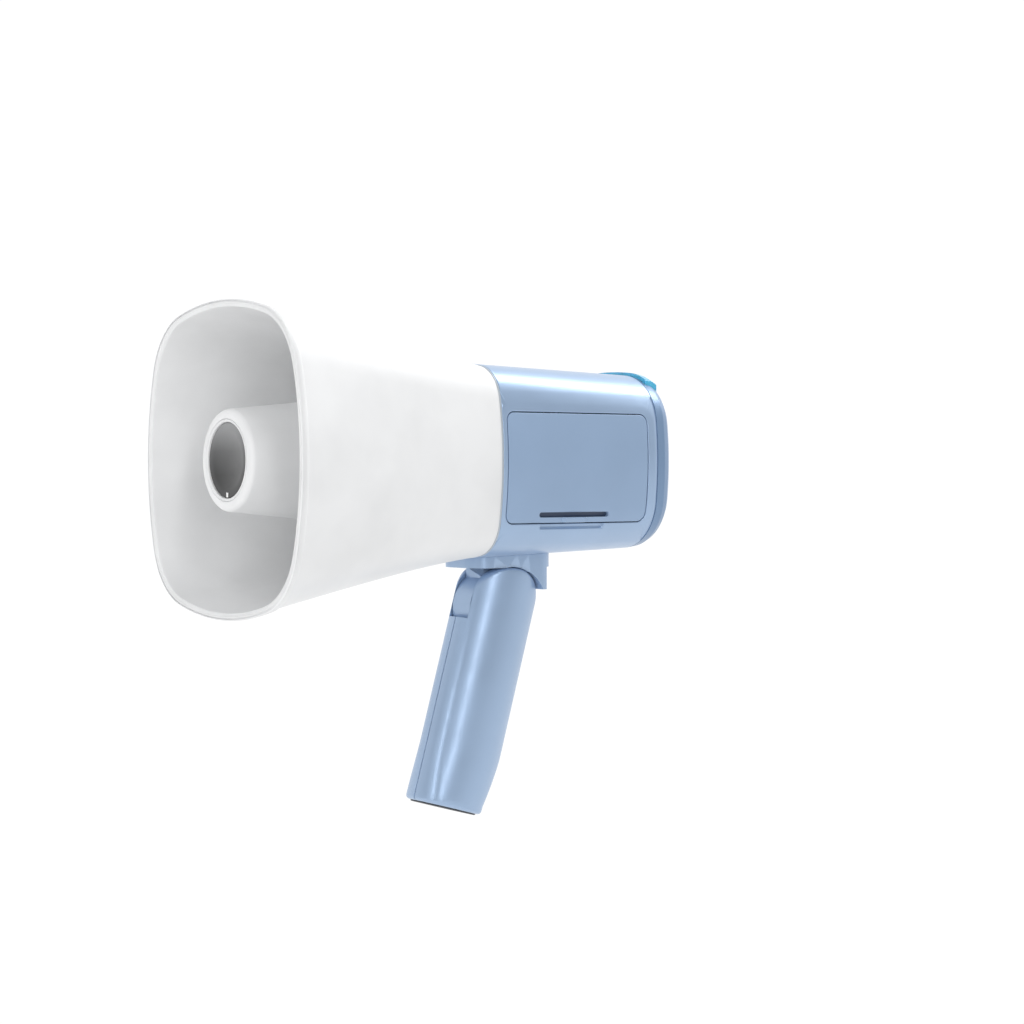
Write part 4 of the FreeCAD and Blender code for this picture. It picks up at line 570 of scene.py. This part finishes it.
def nearest_on_rounded(point, low, high, radius):
    """The closest point of a rounded rectangle's outline to a point outside its core."""
    core_low = (low[0] + radius, low[1] + radius)
    core_high = (high[0] - radius, high[1] - radius)
    base = Vector([min(max(point[k], core_low[k]), core_high[k]) for k in range(2)])
    away = Vector(point) - base
    return base + away.normalized() * radius


def scoop(y, z, middle, half, edge):
    """How deep the finger recess is, just under the cover's latch."""
    across = abs(y - middle)
    down = edge - z
    reach = 2.6
    if across > half + 0.6 or down > reach or down < -2.0:
        return 0.0
    deepest = 1.5
    return deepest * ease((half + 0.3 - across) / 0.9) * ease((reach - down) / 1.6)


def edge_roll(form, y):
    """The small rounding at both ends of the body."""
    reach = 0.4
    distance = max(0.0, min(y - form.body_front, form.body_rear - y))
    if distance >= reach:
        return 0.0
    return reach - math.sqrt(reach ** 2 - (reach - distance) ** 2)


LATCH = (142.4, 16.75)            # middle and half length of the finger recess, along Y
COVER_LOW = (108.0, -24.7)        # the cover's lower front corner, as (y, z)
COVER_HIGH = (180.0, 19.1)        # its upper rear corner
COVER_CORNER = 3.5


def make_casing(form):
    """The body shell with its battery opening, rolled edges, finger recess and inner skin."""
    gap = 0.35
    low = (COVER_LOW[0] - gap, COVER_LOW[1] - gap)
    high = (COVER_HIGH[0] + gap, COVER_HIGH[1] + gap)
    radius = COVER_CORNER + gap
    z_low, z_high = -33.0, 27.0
    outer = SideSkin(form)
    inner = SideSkin(form, form.wall)
    margin = 0.7
    ends = [0.0, 0.06, 0.14, 0.25, 0.4, margin]
    depths = [form.body_front + e for e in ends] + [form.body_rear - e for e in ends]
    count = 62
    run = form.body_rear - form.body_front - 2 * margin
    depths += [form.body_front + margin + run * i / count for i in range(1, count)]
    for side in (-1, 1):
        depths += [LATCH[0] + side * (LATCH[1] + e) for e in (-0.5, -0.25, 0.0, 0.25)]
    depths = sorted(set(round(y, 4) for y in depths))
    steps = 44
    heights = [z_low + (z_high - z_low) * i / steps for i in range(steps + 1)]
    edge = [(y, z_high) for y in reversed(depths)] + [(depths[0], z) for z in reversed(heights[1:-1])]
    edge += [(y, z_low) for y in depths] + [(depths[-1], z) for z in heights[1:-1]]
    build = bmesh.new()

    def side_ring(skin, share, fixed, depth=0.0):
        ring = []
        for point in edge:
            foot = nearest_on_rounded(point, low, high, radius)
            run = Vector(point) - foot
            span = run.length
            here = foot + run * (min(fixed, share * span) / span if fixed is not None else share)
            sunk = depth
            if skin is outer:
                sunk += edge_roll(form, here.x) + scoop(here.x, here.y, *LATCH, low[1])
            ring.append((skin.reach(here.x, here.y) - sunk, here.x, here.y))
        return add_ring(build, ring)

    rings = [side_ring(inner, 1.0, None), side_ring(inner, 0.0, None)]
    rings.append(side_ring(outer, 0.0, None, 1.1))
    rings.append(side_ring(outer, 0.0, None, 0.42))
    for share, fixed, depth in ((0.02, 0.05, 0.2), (0.06, 0.16, 0.07), (0.12, 0.32, 0.0), (0.25, 0.6, 0.0),
                                (0.38, 0.95, 0.0), (0.5, 1.35, 0.0), (0.62, 1.8, 0.0), (0.75, 2.3, 0.0),
                                (0.86, 2.9, 0.0), (0.93, 4.2, 0.0)):
        rings.append(side_ring(outer, share, fixed, depth))
    rings.append(side_ring(outer, 1.0, None))
    lace(build, rings)

    def round_the_back(skin, y):
        outline = form.body_outline(y, skin.inset, fine=2)
        angles = sorted((math.atan2(z, x) % (2 * math.pi), math.hypot(x, z)) for x, z in outline)
        first = math.atan2(z_high, skin.reach(y, z_high))
        last = math.atan2(z_low, skin.reach(y, z_low)) % (2 * math.pi)
        steps = 150
        row = []
        for i in range(steps + 1):
            turn = first + (last - first) * i / steps
            if i in (0, steps):
                z = z_high if i == 0 else z_low
                x = skin.reach(y, z)
            else:
                spot = bisect.bisect_left(angles, (turn, 0))
                (a0, r0), (a1, r1) = angles[spot - 1], angles[spot % len(angles)]
                radius_here = r0 + (r1 - r0) * (turn - a0) / (a1 - a0)
                x = radius_here * math.cos(turn)
                z = radius_here * math.sin(turn)
            roll = edge_roll(form, y) if skin is outer else 0.0
            length = math.hypot(x, z)
            fade = 1 - roll / length
            if i in (0, steps):
                row.append((x - roll, y, z))
            else:
                row.append((x * fade, y, z * fade))
        return row

    for skin in (outer, inner):
        rows = [add_ring(build, round_the_back(skin, y)) for y in depths]
        lace(build, rows, closed=False)
    for y in (depths[0], depths[-1]):
        loops = []
        for skin in (outer, inner):
            side = []
            for z in heights:
                roll = edge_roll(form, y) if skin is outer else 0.0
                side.append((skin.reach(y, z) - roll, y, z))
            loops.append(add_ring(build, side + round_the_back(skin, y)[1:-1]))
        lace(build, loops)
    return dress(to_object("casing", build, 40.0), "body_blue", "housing", "body_shell")


def make_cover(form):
    """The battery cover: the same skin, rolled edges, the long slot and the latch tab."""
    slot_half = 17.9
    slot_low = (LATCH[0] - slot_half, -22.5)
    slot_high = (LATCH[0] + slot_half, -20.5)
    slot_round = 0.99
    rim = 0.9
    thickness = 2.1
    drop = 0.06
    skin = SideSkin(form)
    outline = rounded_outline(COVER_LOW, COVER_HIGH, COVER_CORNER, 8, 0.6)
    build = bmesh.new()

    def tab(y, z):
        """The raised thumb tab at the middle of the lower edge."""
        blend = ease((6.1 - abs(y - LATCH[0])) / 0.7) * ease((-22.2 - z) / 0.8)
        return 1.25 * blend

    def ring(share, inward=None, sunk=0.0, raised=True):
        points = []
        for point in outline:
            foot = nearest_on_rounded(point, slot_low, slot_high, slot_round)
            run = foot - Vector(point)
            begin = min(rim / run.length, 0.45)
            travel = begin + (1 - begin) * share if inward is None else min(inward / run.length, begin)
            here = Vector(point) + run * travel
            x = skin.reach(here.x, here.y) - drop - sunk + (tab(here.x, here.y) if raised else 0.0)
            points.append((x, here.x, here.y))
        return add_ring(build, points)

    rings = [ring(0, 0.0, thickness, False), ring(0, 0.0, 0.45), ring(0, 0.05, 0.2), ring(0, 0.17, 0.06)]
    rings += [ring(0, inward) for inward in (0.35, 0.6, rim)]
    rings += [ring(share) for share in (0.05, 0.1, 0.18, 0.26, 0.34, 0.42, 0.5, 0.58,
                                        0.66, 0.74, 0.82, 0.89, 0.94, 0.975)]
    rings += [ring(0.995, None, 0.05), ring(1.0, None, 0.25), ring(1.0, None, thickness, False)]
    rings.append(rings[0])
    lace(build, rings)
    return dress(to_object("cover", build, 38.0), "cover_blue", "cover", "battery_cover")


def make_slot_shade_floor(form):
    """A dark blue floor behind the cover's slot, part of the cover; its near-black colour is painted shade
    for the shadow down in the slot.
    """
    skin = SideSkin(form, 1.5)
    build = bmesh.new()
    half = 19.5
    steps = 20
    along = [LATCH[0] - half + 2 * half * i / steps for i in range(steps + 1)]
    rows = [add_ring(build, [(skin.reach(y, z), y, z) for y in along]) for z in (-23.6, -21.5, -19.4)]
    lace(build, rows, closed=False)
    shell = bmesh.ops.extrude_face_region(build, geom=list(build.faces))
    moved = [item for item in shell["geom"] if isinstance(item, bmesh.types.BMVert)]
    bmesh.ops.translate(build, vec=(-0.5, 0, 0), verts=moved)
    made = to_object("cover_slot_shade_floor", build)
    # The floor takes slot_blue, painted shade for the slot's shadowed inside.
    made.data.materials.append(finishes["slot_blue"])
    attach(made, "cover")
    return made


# ---------------------------------------------------------------- handle


HANDLE_LEAN = math.radians(16.0)
PIVOT = Vector((0, 126.5, -60.5))
GRIP_FOOT = -83.0           # the handle's sizes are in its own frame, from the pivot
GRIP_HALF_WIDTH = 14.0
GRIP_HALF_DEPTH = 17.0
GRIP_ARCH = 17.2            # radius of the rounded top


def to_rest(build):
    """Swing a handle piece from its own frame to its rest position."""
    turn = Matrix.Rotation(-HANDLE_LEAN, 4, "X")
    bmesh.ops.transform(build, matrix=Matrix.Translation(PIVOT) @ turn, verts=build.verts)


def grip_form(z):
    """How far the heel is drawn forwards, and the edge drawn in, at a height."""
    rise = z - GRIP_FOOT
    heel_start, heel_run = 3.0, 21.0
    heel = 4.0 * (1 - min(1.0, max(0.0, rise - heel_start) / heel_run)) ** 1.35
    edge = 1.6
    drawn = edge - math.sqrt(max(0.0, edge ** 2 - (edge - rise) ** 2)) if rise < edge else 0.0
    return heel, drawn


def grip_outline(z, inset=0.0):
    heel, drawn = grip_form(z)
    inset += drawn
    outline = rounded_square(GRIP_HALF_WIDTH - inset, GRIP_HALF_DEPTH - heel / 2 - inset, 1.5, 0.62)
    return [(x, y - heel / 2) for x, y in outline]


def make_grip_solid(within=0.0):
    """The whole grip as one closed form, rounded over at its arched top."""
    build = bmesh.new()
    arch = GRIP_ARCH - within
    rings = []
    edge = 1.6
    below_pivot = 1.0
    levels = [GRIP_FOOT + e for e in (0.0, 0.1, 0.3, 0.6, 1.0, edge)]
    steps = 46
    run = -GRIP_FOOT - edge - below_pivot
    levels += [GRIP_FOOT + edge + run * i / steps for i in range(1, steps + 1)]
    for z in levels:
        rings.append(add_ring(build, [(x, y, z) for x, y in grip_outline(z, within)]))
    start = levels[-1]
    roll = 1.1
    outline = grip_outline(0.0, within)
    for share in (0.35, 0.6, 0.8, 0.92):
        ring = []
        for x, y in outline:
            top = math.sqrt(max(0.0, (arch - roll) ** 2 - min(abs(y), arch - roll) ** 2))
            ring.append((x, y, start + (top - start) * share))
        rings.append(add_ring(build, ring))
    for turn in (0, 15, 30, 45, 60, 75, 90):
        inset = roll * (1 - math.cos(math.radians(turn)))
        lift = roll * math.sin(math.radians(turn))
        ring = []
        for x, y in grip_outline(0.0, within + inset):
            reach = arch - roll + lift
            top = math.sqrt(max(0.0, reach ** 2 - min(abs(y), reach) ** 2))
            ring.append((x, y, max(start + 0.05 * turn / 90, top)))
        rings.append(add_ring(build, ring))
    lace(build, rings)
    build.faces.new(list(reversed(rings[0])))
    top = rings[-1]
    count = len(top)
    columns = 14
    quarter = count // 4
    right = [top[i % count] for i in range(-quarter, quarter + 1)]
    left = [top[(2 * quarter - i) % count] for i in range(-quarter, quarter + 1)]
    rows = []
    for a, b in zip(right, left):
        row = [a]
        if a is not b:
            for k in range(1, columns):
                row.append(build.verts.new(a.co.lerp(b.co, k / columns)))
            row.append(b)
        rows.append(row)
    for low, high in zip(rows, rows[1:]):
        if len(low) == 1 or len(high) == 1:
            point, line = (low[0], high) if len(low) == 1 else (high[0], low)
            for k in range(len(line) - 1):
                build.faces.new((point, line[k], line[k + 1]))
            continue
        for k in range(columns):
            build.faces.new((low[k], low[k + 1], high[k + 1], high[k]))
    return build


def carve(name, build, tools):
    """Apply (closed tool, boolean kind) pairs to a form and return a bmesh in millimetres."""
    body = to_object(name, build)
    for tool, kind in tools:
        cutter = to_object(f"{name}_tool", tool)
        change = body.modifiers.new("carve", "BOOLEAN")
        change.operation = kind
        change.solver = "EXACT"
        change.object = cutter
        mesh = bpy.data.meshes.new_from_object(body.evaluated_get(bpy.context.evaluated_depsgraph_get()))
        body.modifiers.clear()
        body.data = mesh
        bpy.data.objects.remove(cutter)
    result = bmesh.new()
    result.from_mesh(body.data)
    bmesh.ops.scale(result, vec=(1 / MM, 1 / MM, 1 / MM), verts=result.verts)
    bpy.data.objects.remove(body)
    return result


def block(x, y, z):
    """A closed box between the low and high ends of x, y and z."""
    build = bmesh.new()
    bmesh.ops.create_cube(build, size=1.0)
    size = Vector((x[1] - x[0], y[1] - y[0], z[1] - z[0]))
    middle = Vector((x[0] + x[1], y[0] + y[1], z[0] + z[1])) / 2
    bmesh.ops.scale(build, vec=size, verts=build.verts)
    bmesh.ops.translate(build, vec=middle, verts=build.verts)
    return build


def drum(radius, low, high, z=0.0, segments=96):
    """A closed cylinder along X."""
    build = bmesh.new()
    rings = []
    for x in (low, high):
        rings.append(add_ring(build, [(x, y, z + b) for y, b in
                                      arc_points((0, 0), radius, 0, 360, segments)[:-1]]))
    lace(build, rings)
    build.faces.new(list(reversed(rings[0])))
    build.faces.new(rings[1])
    return build


def make_handle_halves():
    """Two half shells, split down the middle, open at the top round the lug."""
    slot = 6.4                  # half width of the room for the lug
    lug_room = 16.2             # radius of that room
    far = 30.0                  # past the handle, sideways and upwards
    across = (-far, far)
    whole_height = (-90, far)
    pin_radius, pin_floor = 4.2, -10.8
    screw_radius, screw_floor = 2.75, -11.3
    screws = (-34.0, -72.0)
    halves = (("handle_half_left", "handle_left", (-far, 0.0)),
              ("handle_half_right", "handle_right", (0.0, far)))
    for label, node, keep in halves:
        groove = carve("groove", block((-0.25, 0.25), across, whole_height),
                       [(make_grip_solid(0.4), "DIFFERENCE")])
        tools = [(block(keep, across, whole_height), "INTERSECT"), (groove, "DIFFERENCE"),
                 (drum(lug_room, -slot, slot), "DIFFERENCE"),
                 (block((-slot, slot), (-far, 0), (-7.5, far)), "DIFFERENCE"),
                 (block((-slot, slot), (0, 8.5), (9.0, far)), "DIFFERENCE")]
        if node == "handle_left":
            tools.append((drum(pin_radius, -far, pin_floor), "DIFFERENCE"))
            tools += [(drum(screw_radius, -far, screw_floor, z=z, segments=48), "DIFFERENCE") for z in screws]
        build = carve(label, make_grip_solid(), tools)
        to_rest(build)
        dress(to_object(label, build, 30.0), "body_blue", "handle", node)


def make_bracket():
    """The saddle and its lug, trimmed to a slim skirt that follows the handle's arch."""
    build = bmesh.new()
    build.from_mesh(NODES["hinge_bracket"].data)
    bmesh.ops.scale(build, vec=(1 / MM, 1 / MM, 1 / MM), verts=build.verts)
    across = (-30, 30)
    behind, below = 170, -80
    steps = ((144.7, -43.3), (147.6, -30), (139, -52.5))        # front and top of each cut
    tools = [(block(across, (front, behind), (below, top)), "DIFFERENCE") for front, top in steps]
    made = to_object("bracket", carve("bracket", build, tools), 30.0)
    dress(made, "body_blue", "housing", "hinge_bracket")


def make_foot():
    """The end cap: a dark plate let into the foot, with a rounded edge."""
    build = bmesh.new()
    rings = []
    plate_level = GRIP_FOOT + 2.0
    for z, inset in ((3.0, 3.6), (0.0, 3.6), (0.0, 2.0), (-0.35, 2.05), (-0.52, 2.2), (-0.6, 2.5)):
        rings.append(add_ring(build, [(x, y, GRIP_FOOT + z) for x, y in grip_outline(plate_level, inset)]))
    lace(build, rings)
    build.faces.new(list(reversed(rings[0])))
    build.faces.new(rings[-1])
    to_rest(build)
    dress(to_object("foot_plate", build), "end_dark", "handle", "handle_end_cap")


# ---------------------------------------------------------------- stage


def glow(name, colour, strength):
    """A self-lit paper, so that the stage is an even white with no shadow on it."""
    material = bpy.data.materials.new(name)
    material.use_nodes = True
    tree = material.node_tree
    tree.nodes.clear()
    place = tree.nodes.new("ShaderNodeTexCoord")
    grain = tree.nodes.new("ShaderNodeTexNoise")
    grain.inputs["Scale"].default_value = 3.0
    band = tree.nodes.new("ShaderNodeValToRGB")
    band.color_ramp.elements[0].color = (*shade(colour, 0.99), 1)
    band.color_ramp.elements[1].color = (*colour, 1)
    light = tree.nodes.new("ShaderNodeEmission")
    light.inputs["Strength"].default_value = strength
    output = tree.nodes.new("ShaderNodeOutputMaterial")
    tree.links.new(place.outputs["Object"], grain.inputs["Vector"])
    tree.links.new(grain.outputs["Fac"], band.inputs["Fac"])
    tree.links.new(band.outputs["Color"], light.inputs["Color"])
    tree.links.new(light.outputs["Emission"], output.inputs["Surface"])
    return material


def make_stage(height):
    """A white floor under the object."""
    build = bmesh.new()
    bmesh.ops.create_circle(build, cap_ends=True, segments=96, radius=3.0)
    bmesh.ops.translate(build, vec=(0, 0, height), verts=build.verts)
    mesh = bpy.data.meshes.new("studio_floor")
    build.to_mesh(mesh)
    build.free()
    mesh.materials.append(glow("studio_paper", (1.0, 1.0, 1.0), 1.05))
    return add_object("studio_floor", mesh)


def area_light(name, place, aim, size, power):
    """A rectangular lamp that faces a point."""
    light = bpy.data.lights.new(name, "AREA")
    light.shape = "RECTANGLE"
    light.size, light.size_y = size
    light.energy = power
    lamp = bpy.data.objects.new(name, light)
    lamp.location = place
    lamp.rotation_euler = (Vector(aim) - Vector(place)).to_track_quat("-Z", "Y").to_euler()
    bpy.context.scene.collection.objects.link(lamp)
    return lamp


def strip_light(name, middle, along, aim, length, width, power):
    """A long narrow lamp that lies along a direction and faces a point."""
    facing = (Vector(aim) - Vector(middle)).normalized()
    across = facing.cross(Vector(along)).normalized()
    run = across.cross(facing).normalized()
    lamp = area_light(name, middle, aim, (length, width), power)
    turn = Matrix((run, -facing.cross(run), -facing)).transposed()
    lamp.rotation_euler = turn.to_euler()
    return lamp


def make_camera():
    """Level with the horn, about 53 degrees round from the mouth, on the battery side."""
    data = bpy.data.cameras.new("camera")
    data.sensor_width = 36.0
    data.lens = 77.3
    camera = bpy.data.objects.new("camera", data)
    camera.location = (0.7302, -0.4038, -0.005)
    look = Vector((-0.8039, 0.5948, -0.0175))
    camera.rotation_euler = look.to_track_quat("-Z", "Y").to_euler()
    bpy.context.scene.collection.objects.link(camera)
    bpy.context.scene.camera = camera
    return look.normalized()


def make_world(look):
    """A light tent: white behind the object, greyer on the camera's side."""
    world = bpy.data.worlds.new("studio")
    world.use_nodes = True
    tree = world.node_tree
    sky = tree.nodes["Background"]
    place = tree.nodes.new("ShaderNodeTexCoord")
    facing = tree.nodes.new("ShaderNodeVectorMath")
    facing.operation = "DOT_PRODUCT"
    facing.inputs[1].default_value = Vector((look.x, look.y, 0)).normalized()
    band = tree.nodes.new("ShaderNodeMapRange")
    band.interpolation_type = "SMOOTHSTEP"
    band.inputs["From Min"].default_value = -0.5
    band.inputs["From Max"].default_value = 0.6
    band.inputs["To Min"].default_value = 0.36
    band.inputs["To Max"].default_value = 1.05
    tree.links.new(place.outputs["Generated"], facing.inputs[0])
    tree.links.new(facing.outputs["Value"], band.inputs["Value"])
    tree.links.new(band.outputs["Result"], sky.inputs["Strength"])
    sky.inputs["Color"].default_value = (0.985, 0.99, 1.0, 1.0)
    bpy.context.scene.world = world
    bpy.context.scene.view_settings.view_transform = "Standard"


def make_lights():
    """Three strips, for the bright lines along body and grip, and a soft fill for the mouth."""
    middle = Vector((0, 0.09, -0.02))
    axis = Vector((0, 1, 0))
    grip_axis = Vector((0, 0.27, 0.96))
    strip_light("top_strip", middle + Vector((0.06, 0.55, 0.72)), axis, middle,
                length=1.0, width=0.18, power=5.5)
    strip_light("grip_strip", middle + Vector((0.36, -0.85, 0.36)), grip_axis, middle,
                length=0.8, width=0.12, power=1.6)
    strip_light("near_strip", middle + Vector((0.93, -0.33, 0.36)), grip_axis, middle,
                length=0.8, width=0.1, power=2.3)
    area_light("front_fill", middle + Vector((0.1, -1.1, 0.35)), middle, (0.9, 0.9), power=1.2)


# ---------------------------------------------------------------- scene

FLOOR_DROP = 0.0035         # the floor lies this far, in metres, under the lowest point

finishes = make_finishes()
for entry in frame["record"]["subparts"]:
    node = NODES[entry["node"]]
    finish = "seam_grey" if entry["node"] == "seam_gasket" else entry["material_slot"]
    node.data.materials.clear()
    node.data.materials.append(finishes[finish])

form = Form()
make_bell(form)
make_pod()
make_casing(form)
make_cover(form)
make_slot_shade_floor(form)
make_bracket()
make_handle_halves()
make_foot()

look = make_camera()
make_world(look)
make_lights()
make_stage(CAD_BOX[0][2] - FLOOR_DROP)
